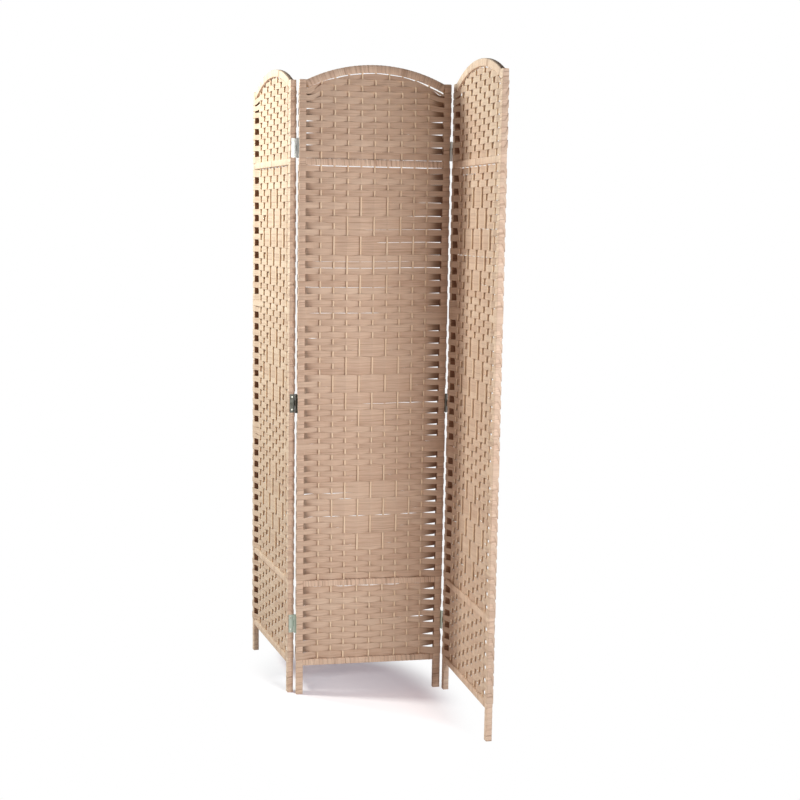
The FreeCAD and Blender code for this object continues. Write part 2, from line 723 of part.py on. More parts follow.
def build_panel(name, hinged_sides, screw):
    """Frame, wraps, rods and ribbons of one panel."""
    place = panel_places[name]
    stile_places = {"left": FreeCAD.Placement(), "right": right_stile_place}
    wraps = []
    for side, stile_place in stile_places.items():
        hinged = side in hinged_sides
        keep(stile(f"{name}_panel_{side}_stile", hinged), place * stile_place)
        wrap = stile_wrap(f"{name}_panel_{side}_stile_sleeve", hinged)
        wrap.Placement = stile_place
        wraps.append(wrap)
    keep(group(f"{name}_panel_stile_wraps", wraps), place)

    drills = rods(f"{name}_panel_rod_drills", "sizes.rod_clearance")
    levels = {"bottom": RAIL_LEVELS[0], "lower": RAIL_LEVELS[1], "upper": RAIL_LEVELS[2]}
    sleeves = []
    for kind, level in levels.items():
        core_depth = "sizes.rod_seat - sizes.wrap_thickness" if kind == "bottom" else CORE_HEIGHT
        sleeve_depth = "sizes.wrap_thickness" if kind == "bottom" else "sizes.rail_height"
        keep(rail(f"{name}_panel_{kind}_rail", level, core_depth), place)
        sleeves.append(rail_wrap(f"{name}_panel_{kind}_sleeve", level, sleeve_depth))
    keep(arch_rail(f"{name}_panel_arch_rail", drills), place)
    sleeves.append(arch_wrap(f"{name}_panel_arch_sleeve", drills))
    keep(group(f"{name}_panel_rail_wraps", sleeves), place)
    keep(rods(f"{name}_panel_warp_rods", "0"), place)

    rail_height = size("rail_height")
    bottom = size("bottom_rail_level") + rail_height
    lower = size("lower_rail_level")
    upper = size("upper_rail_level")
    arch = value(f"{ARCH_CENTRE} + {ARCH_INNER}")
    label = f"{name}_panel_weave_"
    top_rows = int(size("top_rows"))
    bottom_rows = int(size("bottom_rows"))
    middle_rows = int(size("centre_middle_rows" if name == "centre" else "outer_middle_rows"))
    top_levels = even_levels(upper + rail_height, arch, top_rows)
    hang = (size(f"{name}_sag"), size(f"{name}_sag_power"))
    middle_levels = sagging_levels(lower + rail_height, upper, middle_rows, *hang)
    bottom_levels = even_levels(bottom, lower, bottom_rows)
    keep(weave(label + "top", top_levels, range(top_rows, 0, -1)), place)
    keep(weave(label + "middle", middle_levels, range(1, middle_rows + 1), motif_lead(middle_rows)), place)
    keep(weave(label + "bottom", bottom_levels, range(2, bottom_rows + 2)), place)

    doc.recompute()
    copies = [
        copy
        for side in hinged_sides
        for copy in stile_screws(screw, stile_places[side])
    ]
    screws = doc.addObject("Part::Feature", f"{name}_panel_hinge_screws")
    screws.Label = f"{name}_panel_hinge_screws"
    screws.Shape = Part.makeCompound(copies)
    keep(screws, place)


def build_hinge(name, level_name, axis, fixed_turn, swing_turn):
    """Two leaves and the pin of one hinge between the centre panel and an outer panel."""
    label = f"{name}_hinge_{level_name}"
    centre_place = panel_places["centre"] * shifted(*axis, size(HINGE_LEVELS[level_name]))
    fold = FreeCAD.Rotation(FreeCAD.Vector(0, 0, 1), -size(f"{name}_fold"))
    folded = FreeCAD.Placement(FreeCAD.Vector(0, 0, 0), fold)
    count = int(size("knuckle_count"))
    keep(hinge_leaf(label + "_fixed_leaf", range(0, count, 2)), centre_place * fixed_turn)
    keep(hinge_leaf(label + "_swing_leaf", range(1, count, 2)), centre_place * folded * swing_turn)
    keep(hinge_pin(label + "_pin"), centre_place)


screw = screw_blank("screw_blank")
doc.recompute()
build_panel("left", ["right"], screw)
build_panel("centre", ["left", "right"], screw)
build_panel("right", ["left"], screw)
for level_name in HINGE_LEVELS:
    build_hinge("left", level_name, left_axis, about_x, about_z)
    build_hinge("right", level_name, right_axis, about_y, FreeCAD.Placement())
doc.recompute()

for item in doc.Objects:
    if "Invalid" in item.State or "Error" in item.State:
        raise RuntimeError(f"{item.Label} failed: {item.State}")
for node in nodes:
    if node.Shape.isNull() or not node.Shape.isValid():
        raise RuntimeError(f"{node.Label} has no valid shape")

os.makedirs("parts", exist_ok=True)
for node in nodes:
    node.Shape.exportStep(f"parts/{node.Label}.step")
    print(node.Label, len(node.Shape.Solids), "solids", round(node.Shape.Volume, 1), "mm3")
print(len(nodes), "nodes written")
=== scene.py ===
import json
import math

import bpy
import numpy as np
from mathutils import Matrix, Vector


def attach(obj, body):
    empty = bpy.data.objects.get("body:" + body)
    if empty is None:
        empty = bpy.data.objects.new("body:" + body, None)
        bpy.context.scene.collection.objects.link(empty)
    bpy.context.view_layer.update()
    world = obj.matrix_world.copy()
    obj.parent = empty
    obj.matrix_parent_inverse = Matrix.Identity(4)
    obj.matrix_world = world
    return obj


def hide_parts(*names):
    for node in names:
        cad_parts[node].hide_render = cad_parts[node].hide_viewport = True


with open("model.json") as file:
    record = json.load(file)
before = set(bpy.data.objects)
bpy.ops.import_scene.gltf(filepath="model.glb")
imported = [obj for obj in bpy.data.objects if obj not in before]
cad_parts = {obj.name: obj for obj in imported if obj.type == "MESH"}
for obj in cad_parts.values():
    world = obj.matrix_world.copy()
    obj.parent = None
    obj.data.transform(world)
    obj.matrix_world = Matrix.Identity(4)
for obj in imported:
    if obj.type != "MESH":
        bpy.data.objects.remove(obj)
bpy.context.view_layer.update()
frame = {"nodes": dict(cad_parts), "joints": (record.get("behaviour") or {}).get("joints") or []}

# Sizes of one panel in millimetres: x runs across it, y from its front to its back, z up.
WIDTH, SHOULDER = 404.0, 1657.0
STILE, DEPTH = 19.0, 16.0
RAIL_FRONT, RAIL_DEPTH, RAIL_HEIGHT = 1.0, 14.0, 18.0
RAILS = {"bottom": 80.0, "lower": 302.0, "upper": 1438.0}
ARCH_RADIUS, ARCH_CENTRE, ARCH_BAND = 410.907, 1289.093, 20.0
ROD_RADIUS, ROD_COUNT, ROD_END_GAP, ROD_SEAT = 2.5, 9, 40.0, 7.0
ROD_STEP = (WIDTH - 2 * (STILE + ROD_END_GAP)) / (ROD_COUNT - 1)
RODS = [STILE + ROD_END_GAP + ROD_STEP * n for n in range(ROD_COUNT)]
HINGE_LEVELS = (196.0, 806.0, 1482.0)
SCREW_SPACING, LEAF = 34.0, 1.2
BARREL = 2.5
FOLDS = {"left": -81.0, "right": -86.7}
PANELS = ("left", "centre", "right")
HINGED = {"left": ("right",), "centre": ("left", "right"), "right": ("left",)}

# Woven ribbon in millimetres: its thickness, and how far its middle stands off stiles and rod axes
THICK, PROUD, ROD_OFFSET = 0.6, 0.3, 3.15
# Spread of a row over one on its other side, gap where the two cross, and lap over one on its own side
FLARE, CROSS_GAP, SAME_LAP = 1.1, 0.05, 0.2
# Trim of rows in front of a stile, how far past it they stay flat, and where rows cross beside it
FRONT_TRIM, OVERRUN = 0.75, 0.6
LEFT_CROSS, RIGHT_CROSS = 39.8, WIDTH - 50.9
# Straightness of a row between rods, and its tautness beside the left and right stile
STRAIGHT, TAUTNESS = 0.4, (1.8, 1.4)
# Random shift of an edge at each knot, along the row and in its trims, and its share at a rail
KNOT_SHIFT, EDGE_SHIFT, TRIM_SHIFT, RAIL_HOLD = 0.28, 0.3, 0.4, 0.4
# Rows from a rail over which the rise of a field sets in, its start across the panel and its dip before that
SETTLE_ROWS, RISE_START, RISE_DIP = 6, 0.35, 0.1
# Slit along the rails, start of the short row under the arch, and tail of a ribbon behind a stile
RAIL_SLIT, CUT_ROW_START, TAIL = 2.5, 102.0, 12.0
# Turns round a stile: corner radius, belly, and share of the way over which the height changes
CORNER, BELLY, TURN_SHARE = 1.4, 0.15, 0.4
# How far turns stand out: on most stiles, in the narrow gap of the right joint, and near a hinge
BULGE, HINGE_BULGE, PRESSED, HINGE_CLEAR = 0.9, 1.55, -0.42, 36.0
TIGHT_GAP = (("centre", "right"), ("right", "left"))
# Crown across a ribbon with its random change, random lean, and lean of rows like shingles
CROWN, CROWN_SHIFT, LEAN_SHIFT, SHINGLE = 0.08, 0.16, 0.12, 0.34
# Twist of rows behind the stiles, and where beside a stile it sets in and dies away
TWIST, TWIST_FROM, TWIST_RISE, TWIST_TO, TWIST_FALL = 2.4, 18.0, 5.0, 50.0, 22.0
# Strength, reach and fade of the painted shade on rows behind the left and right stile, darkest beside it
LEFT_PAINTED_SHADE, RIGHT_PAINTED_SHADE = (0.3, 46.0, 24.0), (0.9, 50.0, 26.0)

# Wound ribbon in millimetres: thickness, lap of the turns, and place of its middle against the bar's face
WOUND_THICK, WOUND_LAP, WOUND_SINK = 0.34, 0.26, -0.5
# Random wobble of a turn along the bar, and random change of its lap, seat and half width
WOBBLE, LAP_SHIFT, SEAT_SHIFT, HALF_SHIFT = 0.45, 0.08, 0.04, 0.3
# Width and pitch of the turns
STILE_TURNS, RAIL_TURNS, ARCH_TURNS = (16.5, 14.6), (13.5, 12.2), (13.0, 11.6)
# Swell in the narrow gap, its distance from hinges, and reach of rail turns into the stiles
SWELL, SWELL_CLEAR, SWELL_RUN, TUCK = 1.3, 34.0, 10.0, 1.0

# Maps in millimetres: lanes of fibres, gap between lofts, edges of a cap, half widths of ribbons
LANE, MAP_GAP, CAP_NEAR, CAP_FAR = 50.0, 3.0, 0.3, 1.3
RIBBON_HALF, WRAP_HALF = 8.0, 7.0
SHARP_ANGLE = math.radians(48)

# Rows of the fields
TOP_ROWS, BOTTOM_ROWS = 14, 12
MIDDLE_ROWS = {"left": 65, "centre": 69, "right": 65}

# Diamond motif of the middle field
SPACING, BAND_ROWS, REACH, MOTIFS = 22, 3, 3, 3
DIAMOND_ROWS = (2 * REACH - 1) * BAND_ROWS


def panel_matrix(panel):
    """Placement of one panel at rest, from its millimetres to the frame's metres."""
    axes = {joint["name"]: Vector(joint["pos_m"]) for joint in frame["joints"]}
    origin = axes["left_fold"] - Vector((-BARREL, DEPTH + BARREL, 0)) / 1000
    origin.z = 0
    scale = Matrix.Scale(0.001, 4)
    if panel == "centre":
        return Matrix.Translation(origin) @ scale
    sign = -1 if panel == "left" else 1
    axis = axes[panel + "_fold"]
    axis.z = 0
    shift = Vector((sign * (WIDTH + 2 * BARREL) / 1000, 0, 0))
    turn = Matrix.Rotation(math.radians(FOLDS[panel]), 4, "Z")
    place = Matrix.Translation(axis) @ turn @ Matrix.Translation(origin + shift - axis)
    return place @ scale


# Meshes

class Shell:
    """Closed lofts of one piece, with a map along the fibres and a flat map for every face."""

    def __init__(self):
        self.points, self.quads, self.fibre, self.tape, self.shelter = [], [], [], [], []
        self.count = 0
        self.length = 0.0
        self.lane = 0

    def loft(self, rings, across, shelter=None, strips=()):
        """Skin through rings of an even number of points, with a flat cap at each end.

        Painted shade gives for each ring how strongly the named strips of the skin are darkened with painted
        shade.
        """
        rings = np.asarray(rings, float)
        n, k, _ = rings.shape
        steps = np.linalg.norm(np.diff(rings.mean(1), axis=0), axis=1)
        if steps.max() < 1e-6:
            steps = np.linalg.norm(np.diff(rings[:, 0], axis=0), axis=1)
        along = np.concatenate([[0.0], np.cumsum(steps)]) + self.length + MAP_GAP
        middle = rings[n // 2]
        sides = np.linalg.norm(np.diff(np.vstack([middle, middle[:1]]), axis=0), axis=1)
        girth = np.concatenate([[0.0], np.cumsum(sides)])
        across = np.asarray(across, float) + LANE * self.lane
        i, j = np.meshgrid(np.arange(n - 1), np.arange(k), indexing="ij")
        i, j = i.ravel(), j.ravel()
        after = (j + 1) % k
        quads = np.stack([i * k + j, (i + 1) * k + j, (i + 1) * k + after, i * k + after], 1)
        places = np.stack([along[i], along[i + 1], along[i + 1], along[i]], 1)
        around = np.stack([girth[j], girth[j], girth[j + 1], girth[j + 1]], 1)
        thread = np.stack([across[j], across[j], across[j + 1], across[j + 1]], 1)
        shelter = np.zeros(n) if shelter is None else shelter
        dim = np.stack([shelter[i], shelter[i + 1], shelter[i + 1], shelter[i]], 1)
        dim = dim * np.isin(j, strips)[:, None]
        self._keep(quads, places, around, thread, along[np.stack([i, i, i, i], 1)], dim)
        for end, place, sign in ((0, along[0], -1.0), (n - 1, along[-1], 1.0)):
            half = k // 2
            rungs = np.array([[r, r + 1, k - 2 - r, k - 1 - r] for r in range(half - 1)])
            if end:
                rungs = rungs[:, ::-1]
            far = rungs >= half
            column = np.where(far, k - 1 - rungs, rungs)
            spot = place + sign * np.where(far, CAP_FAR, CAP_NEAR)
            base = np.full(rungs.shape, max(place + sign * CAP_FAR, 0.0))
            base = np.minimum(base, spot)
            self._keep(end * k + rungs, spot, girth[column], across[column], base, 0.0 * spot)
        self.points.append(rings.reshape(-1, 3))
        self.count += n * k
        self.length = along[-1] + MAP_GAP
        self.lane += 1

    def _keep(self, quads, places, around, thread, start, dim):
        self.quads.append(quads + self.count)
        self.fibre.append(np.stack([places, thread], 2) / 1000.0)
        self.tape.append(np.stack([places, around, start], 2))
        self.shelter.append(np.stack([dim, 0.0 * dim], 2))

    def flat_map(self):
        """Places of all corners with the long tape folded into the rows of a square."""
        tape = np.concatenate(self.tape)
        girth = tape[..., 1].max() + 1.0
        total = tape[..., 0].max() + MAP_GAP
        width = math.sqrt(total * girth)
        row = np.floor(tape[:, :1, 2].min(1, keepdims=True) / width)
        reach = (tape[..., 0] - row * width).max() + 1.0
        rows = row.max() + 1
        u = (tape[..., 0] - row * width) / reach
        v = (row + tape[..., 1] / girth) / rows
        return np.clip(np.stack([u, v], 2), 0.0, 1.0)

    def build(self, name, panel, slot, material, *nodes):
        """Mesh object of all lofts, riding on the panel in place of its solids."""
        quads = np.concatenate(self.quads)
        mesh = bpy.data.meshes.new(name)
        mesh.from_pydata(np.concatenate(self.points).tolist(), [], quads.tolist())
        maps = {"fibre": np.concatenate(self.fibre), "OFBake": self.flat_map()}
        maps["shelter"] = np.concatenate(self.shelter)
        for title, corners in maps.items():
            layer = mesh.uv_layers.new(name=title)
            layer.uv.foreach_set("vector", corners.astype(np.float32).ravel())
        mesh.transform(panel_matrix(panel))
        mesh.shade_smooth()
        mesh.set_sharp_from_angle(angle=SHARP_ANGLE)
        mesh.materials.append(material)
        piece = bpy.data.objects.new(name, mesh)
        bpy.context.scene.collection.objects.link(piece)
        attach(piece, panel + "_panel")
        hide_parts(*[f"{panel}_panel_{node}" for node in nodes])


def strip_rings(centre, normal, breadth, low, high, thick, crown, lean):
    """Rings of a thin strip, with its breadth from low to high edge and its normal on the outer face."""
    spots = np.array([-1.0, 0.0, 1.0]) if np.ndim(crown) else np.array([-1.0, 1.0])
    rings = []
    for face, order in ((0.5, spots), (-0.5, spots[::-1])):
        for spot in order:
            reach = low + (high - low) * (spot + 1) / 2
            lift = thick * face + crown * (1 - spot * spot) + lean * spot
            rings.append(centre + breadth * reach[:, None] + normal * lift[:, None])
    return np.stack(rings, 1)


def smooth(t):
    """Ease from 0 to 1."""
    t = np.clip(t, 0.0, 1.0)
    return t * t * (3 - 2 * t)


def wander(rng, count, size, every):
    """Smooth random walk of given amplitude, with one new value at every so many samples."""
    knots = max(2, count // every + 2)
    return np.interp(np.linspace(0, knots - 1, count), np.arange(knots), rng.uniform(-size, size, knots))


# Woven fields

STATIONS = np.array([STILE + OVERRUN] + RODS + [WIDTH - STILE - OVERRUN])
KNOTS = np.empty(2 * len(STATIONS) - 1)
KNOTS[0::2] = STATIONS
KNOTS[1::2] = (STATIONS[1:] + STATIONS[:-1]) / 2
KNOTS[1], KNOTS[-2] = LEFT_CROSS, RIGHT_CROSS


def motif_lead(rows):
    """Plain rows above the first diamond of a field."""
    return (rows - DIAMOND_ROWS - (MOTIFS - 1) * SPACING) // 2


def plain_rows(lead):
    """Rows halfway between two diamonds, which pass in front of the stiles like their neighbours."""
    return [lead + (DIAMOND_ROWS + SPACING + 1) // 2 + SPACING * n for n in range(MOTIFS - 1)]


def shows_rod(row, number, lead):
    """Whether a row passes behind a rod and leaves it in sight from the front."""
    if lead is not None:
        repeat, line = divmod(row - 1 - lead, SPACING)
        if 0 <= repeat < MOTIFS and line < DIAMOND_ROWS:
            reach = REACH - abs(line // BAND_ROWS + 1 - REACH)
            distance = abs(number - (ROD_COUNT + 1) // 2)
            if distance <= reach:
                return (distance + reach) % 2 == 0
    return row % 2 == number % 2


def in_front_of_stile(row, lead):
    """Whether a row passes in front of the stiles."""
    return row % 2 == 1 or (lead is not None and row in plain_rows(lead))


def sides(row, lead):
    """Side of a row at each station: -1 in front, 1 behind."""
    stile = -1 if in_front_of_stile(row, lead) else 1
    rods = [1 if shows_rod(row, n, lead) else -1 for n in range(1, ROD_COUNT + 1)]
    return np.array([stile] + rods + [stile])


def depths(row, lead):
    """Depth of a row's middle surface at each station."""
    side = sides(row, lead)
    y = DEPTH / 2 + side * ROD_OFFSET
    for end in (0, -1):
        y[end] = -PROUD if side[end] < 0 else DEPTH + PROUD
    return y


def depth_at(x, y_stations):
    """Depth of a row's middle surface across the panel."""
    found = np.interp(x, STATIONS, y_stations)
    index = np.clip(np.searchsorted(STATIONS, x) - 1, 0, len(STATIONS) - 2)
    t = (x - STATIONS[index]) / (STATIONS[index + 1] - STATIONS[index])
    eased = y_stations[index] + (y_stations[index + 1] - y_stations[index]) * smooth(t)
    drawn = STRAIGHT * found + (1 - STRAIGHT) * eased
    left_share, right_share = (1 - (1 - np.clip(t, 0, 1)) ** power for power in TAUTNESS)
    for end, share in ((0, left_share), (len(STATIONS) - 2, right_share)):
        taut = y_stations[end] + (y_stations[end + 1] - y_stations[end]) * share
        drawn = np.where(index == end, taut, drawn)
    return np.where((t > 0) & (t < 1), drawn, found)


def sample_places():
    """Places across the panel at which a row is drawn."""
    left = [2.2, 10.0, 18.4, 20.5, 24.0, 29.0, 34.0, LEFT_CROSS, 46.0, 53.0]
    right = [52.5, WIDTH - RIGHT_CROSS, 40.0, 33.0, 26.0, 21.0, 18.4, 10.0, 2.2]
    middle = []
    for rod in RODS:
        middle += [rod - 2.6, rod, rod + 2.6]
        if rod != RODS[-1]:
            middle += [rod + 8.8, rod + ROD_STEP / 2, rod + ROD_STEP - 8.8]
    return np.array(left + middle + [WIDTH - x for x in right])


SAMPLES = sample_places()


def arch_underside(x, drop):
    """Height of the arch's underside, lowered by a drop along its radius."""
    radius = ARCH_RADIUS - ARCH_BAND - drop
    return ARCH_CENTRE + np.sqrt(np.maximum(radius**2 - (x - WIDTH / 2) ** 2, 0.0))


def bridge(share, start, end, ease=0.05):
    """1 between two places across the panel, easing to 0 outside them."""
    return smooth((share - start) / ease) * smooth((end - share) / ease)


class Field:
    """Rows of ribbon between two rails, with the low and high edge of each row at the knots."""

    def __init__(self, rng, top, bottom, numbers, lead, look):
        self.lead, self.numbers = lead, numbers
        count = len(numbers)
        lines = np.arange(count + 1)
        levels = np.linspace(top - RAIL_SLIT, bottom + RAIL_SLIT, count + 1)
        levels -= look["sag"](lines / count)
        free = smooth(lines / SETTLE_ROWS) * smooth((count - lines) / SETTLE_ROWS)
        side = [sides(row, lead) for row in numbers]
        share = KNOTS / WIDTH
        rise = smooth((share - RISE_START) / (1 - RISE_START)) - RISE_DIP
        self.low, self.high = np.zeros((2, count, len(KNOTS)))
        for edge, level in enumerate(levels):
            drift = rng.uniform(-KNOT_SHIFT, KNOT_SHIFT, len(KNOTS)) + rng.uniform(-EDGE_SHIFT, EDGE_SHIFT)
            drift += look["rise"] * free[edge] * rise
            above, below = np.full((2, len(KNOTS)), -CROSS_GAP)
            if edge == 0:
                below += RAIL_SLIT - look["top_gap"](share)
                drift *= RAIL_HOLD
            elif edge == count:
                above += RAIL_SLIT - look["bottom_gap"](share)
                drift *= RAIL_HOLD
            else:
                a, b = side[edge - 1], side[edge]
                same = a == b
                for spread in (above, below):
                    spread[0::2] = np.where(same, SAME_LAP, FLARE)
                    spread[1:-1:2] += (SAME_LAP + CROSS_GAP) * (same[1:] & same[:-1])
                for end, trims in ((0, look["left"]), (-1, look["right"])):
                    if same[end]:
                        continue
                    for spread, row_side, edge_name in ((above, a, "low"), (below, b, "high")):
                        trim = FRONT_TRIM
                        if row_side[end] > 0:
                            trim = np.interp(edge / count, (0, 0.5, 1), trims[edge_name])
                            trim += rng.uniform(-TRIM_SHIFT, TRIM_SHIFT)
                        spread[end] = -trim
                for row, start, finish, gap in look["slits"]:
                    if row == min(numbers[edge - 1], numbers[edge]):
                        opening = bridge(share, start, finish)
                        for spread in (above, below):
                            spread -= opening * (gap / 2 + np.maximum(spread, 0))
            if edge > 0:
                self.low[edge - 1] = level + drift - above
            if edge < count:
                self.high[edge] = level + drift + below

    def edges(self, row, x):
        """Low and high edge of a row across the panel."""
        place = self.numbers.index(row)
        return np.interp(x, KNOTS, self.low[place]), np.interp(x, KNOTS, self.high[place])

    def span(self, row):
        """One row from left to right, between the outer corners of the stiles."""
        low, high = self.edges(row, SAMPLES)
        return SAMPLES, depth_at(SAMPLES, depths(row, self.lead)), low, high


class TopField(Field):
    """Rows under the arch, with the highest ones pressed together beside the stiles."""

    FIRST_PRESSED = 9
    LEFT_SHARES = (0.29, 0.09, 0.28, 0.08, 0.26)
    RIGHT_SHARES = (0.26, 0.26, 0.24, 0.08, 0.16)
    PRESS_REACH, PRESS_RUN, PRESS_TUCK = 64.0, 42.0, 2.6
    ARCH_GAPS = (
        (STILE, 66.0, 92.0, WIDTH - 88.0, WIDTH - 52.0, WIDTH - STILE),
        (0.2, 0.3, 2.4, 2.4, 4.0, 5.0),
    )

    def edges(self, row, x):
        low, high = super().edges(row, x)
        near = smooth((self.PRESS_REACH - np.minimum(x, WIDTH - x)) / self.PRESS_RUN)
        if self.FIRST_PRESSED <= row < self.FIRST_PRESSED + len(self.LEFT_SHARES):
            start = RAILS["upper"] + RAIL_HEIGHT + RAIL_SLIT
            pitch = (ARCH_CENTRE + ARCH_RADIUS - ARCH_BAND - RAIL_SLIT - start) / TOP_ROWS
            base = start + (self.FIRST_PRESSED - 1) * pitch
            room = arch_underside(STILE, 1.0) - base
            place = row - self.FIRST_PRESSED
            shares = [np.concatenate([[0.0], np.cumsum(s)]) for s in (self.LEFT_SHARES, self.RIGHT_SHARES)]
            left = x < WIDTH / 2
            low_share = np.where(left, shares[0][place], shares[1][place])
            high_share = np.where(left, shares[0][place + 1], shares[1][place + 1])
            tuck = 0.0 if in_front_of_stile(row, None) else self.PRESS_TUCK
            low = low + near * (base + room * low_share - low)
            high = high + near * (base + room * high_share + tuck - high)
        drop = np.interp(x, *self.ARCH_GAPS)
        limit = arch_underside(np.clip(x, STILE, WIDTH - STILE), drop)
        if row == self.FIRST_PRESSED + len(self.LEFT_SHARES) - 1:
            high = np.where(near > 0, limit, high)
        return np.minimum(low, limit - 1.0), np.minimum(high, limit)


def turn_places(panel, side, level):
    """Points of a ribbon's way round a stile's outer side, from front to back, each with its share."""
    near_hinge = side in HINGED[panel] and min(abs(level - h) for h in HINGE_LEVELS) < HINGE_CLEAR
    out = PRESSED if near_hinge else HINGE_BULGE if (panel, side) in TIGHT_GAP else BULGE
    points = []
    bends = ((CORNER - PROUD, (0, 30, 60, 90)), (DEPTH + PROUD - CORNER, (90, 120, 150, 180)))
    for centre_y, angles in bends:
        for angle in angles:
            a = math.radians(angle)
            points.append((out - CORNER + CORNER * math.sin(a), centre_y - CORNER * math.cos(a)))
        if angles[-1] == 90:
            points.append((out + (BELLY if out > 0 else 0.0), DEPTH / 2))
    path = np.array(points)
    way = np.concatenate([[0.0], np.cumsum(np.linalg.norm(np.diff(path, axis=0), axis=1))])
    x = WIDTH + path[:, 0] if side == "right" else -path[:, 0]
    return x, path[:, 1], way / way[-1]


def woven_strip(field, rows, panel, rng):
    """Rings of one ribbon that runs through several rows and turns round a stile after each."""
    xs, ys, lows, highs, faces = [], [], [], [], []

    def extend(x, y, low, high, facing=0.0):
        faces.append(np.full(len(x), facing))
        xs.extend(x)
        ys.extend(y)
        lows.extend(low)
        highs.extend(high)

    def turn(side, first, second, front_to_back):
        """Way round a stile from the end of one row to the start of another."""
        level = (first[0] + first[1]) / 2
        x, y, share = turn_places(panel, side, level)
        if not front_to_back:
            x, y = x[::-1], y[::-1]
        late = 1 - TURN_SHARE if front_to_back else 0.0
        rise = smooth((share - late) / TURN_SHARE)
        low = first[0] + (second[0] - first[0]) * rise
        high = first[1] + (second[1] - first[1]) * rise
        extend(x, y, low, high)

    for place, row in enumerate(rows):
        x, y, low, high = field.span(row)
        rightwards = in_front_of_stile(row, field.lead)
        if not rightwards:
            x, y, low, high = x[::-1], y[::-1], low[::-1], high[::-1]
        start, end = (low[0], high[0]), (low[-1], high[-1])
        if place == 0 and rightwards:
            extend([TAIL], [DEPTH + PROUD], [start[0]], [start[1]])
            turn("left", start, start, False)
        extend(x, y, low, high, 1.0 if rightwards else -1.0)
        if place + 1 < len(rows):
            following = field.span(rows[place + 1])
            spot = -1 if rightwards else 0
            target = (following[2][spot], following[3][spot])
            turn("right" if rightwards else "left", end, target, rightwards)
        elif rightwards:
            turn("right", end, end, True)
            extend([WIDTH - TAIL], [DEPTH + PROUD], [end[0]], [end[1]])
    facing = np.concatenate(faces)
    return ribbon_rings(*map(np.array, (xs, ys, lows, highs)), facing, rng)


def ribbon_rings(x, y, low, high, facing, rng):
    """Rings of an upright ribbon along a plan path, with the painted shade of each ring beside the stiles."""
    count = len(x)
    path = np.stack([x, y], 1)
    ahead = np.vstack([path[1:], path[-1:]]) - np.vstack([path[:1], path[:-1]])
    ahead /= np.maximum(np.linalg.norm(ahead, axis=1, keepdims=True), 1e-9)
    normal = np.stack([ahead[:, 1], -ahead[:, 0], np.zeros(count)], 1)
    middle = (low + high) / 2
    centre = np.stack([x, y, middle], 1)
    up = np.tile([0.0, 0.0, 1.0], (count, 1))
    behind = facing < 0
    crown = CROWN + wander(rng, count, CROWN_SHIFT, 5)
    lean = wander(rng, count, LEAN_SHIFT, 6) - SHINGLE * facing
    # Painted shade: rows behind a stile are darkened beside it, standing in for the shade in the recess
    # there.
    shelter = np.zeros(count)
    for inset, sign, tone in ((x, -1, LEFT_PAINTED_SHADE), (WIDTH - x, 1, RIGHT_PAINTED_SHADE)):
        twisted = smooth((inset - TWIST_FROM) / TWIST_RISE) * smooth((TWIST_TO - inset) / TWIST_FALL)
        lean += sign * TWIST * behind * twisted
        most, reach, fade = tone
        shelter += most * behind * smooth((reach - inset) / fade)
    return strip_rings(centre, normal, up, low - middle, high - middle, THICK, crown, lean), shelter


ACROSS_RIBBON = RIBBON_HALF * np.array([-1.0, 0.0, 1.0, 1.0, 0.0, -1.0, -1.0])
INNER_STRIPS = (3, 4)


def add_ribbon(shell, ribbon):
    """One ribbon, with painted shade on its inner face beside the stiles."""
    rings, shelter = ribbon
    shell.loft(rings, ACROSS_RIBBON, shelter, INNER_STRIPS)


def cut_row(field, row, start, end, rng):
    """Rings of a short row under the arch that ends between the rods."""
    x = SAMPLES[(SAMPLES > start) & (SAMPLES < end)]
    x = np.concatenate([[start], x, [end]])
    low, high = field.edges(row, x)
    y = depth_at(x, depths(row, field.lead))
    return ribbon_rings(x, y, low, high, np.ones(len(x)), rng)


def weave_panel(panel, seed, looks, material):
    """Three woven fields of one panel."""
    rng = np.random.default_rng(seed)
    arch_apex = ARCH_CENTRE + ARCH_RADIUS - ARCH_BAND
    numbers = list(range(TOP_ROWS, 0, -1))
    top = TopField(rng, arch_apex, RAILS["upper"] + RAIL_HEIGHT, numbers, None, looks["top"])
    shell = Shell()
    add_ribbon(shell, woven_strip(top, numbers[:0:-1], panel, rng))
    add_ribbon(shell, cut_row(top, TOP_ROWS, CUT_ROW_START, WIDTH - CUT_ROW_START, rng))
    shell.build(f"{panel}_top_weave", panel, "woven_ribbon", material, "weave_top")

    numbers = list(range(1, MIDDLE_ROWS[panel] + 1))
    lead = motif_lead(len(numbers))
    middle = Field(rng, RAILS["upper"], RAILS["lower"] + RAIL_HEIGHT, numbers, lead, looks["middle"])
    shell = Shell()
    start = 0
    for row in plain_rows(lead) + [len(numbers) + 1]:
        add_ribbon(shell, woven_strip(middle, numbers[start:row - 1], panel, rng))
        if row in numbers:
            add_ribbon(shell, woven_strip(middle, [row], panel, rng))
        start = row
    shell.build(f"{panel}_middle_weave", panel, "woven_ribbon", material, "weave_middle")

    numbers = list(range(2, BOTTOM_ROWS + 2))
    bottom = Field(rng, RAILS["lower"], RAILS["bottom"] + RAIL_HEIGHT, numbers, None, looks["bottom"])
    shell = Shell()
    add_ribbon(shell, woven_strip(bottom, numbers, panel, rng))
    shell.build(f"{panel}_bottom_weave", panel, "woven_ribbon", material, "weave_bottom")


# Wound frame

def ring_outline(width, height, radius, per_corner):
    """Points and outward normals of a rounded rectangle, anticlockwise from the corner at 0, 0."""
    corners = ((radius, radius, 180), (width - radius, radius, 270),
               (width - radius, height - radius, 0), (radius, height - radius, 90))
    points, normals = [], []
    for cx, cy, start in corners:
        for step in range(per_corner):
            a = math.radians(start + 90 * step / (per_corner - 1))
            normals.append((math.cos(a), math.sin(a)))
            points.append((cx + radius * math.cos(a), cy + radius * math.sin(a)))
    return np.array(points), np.array(normals)


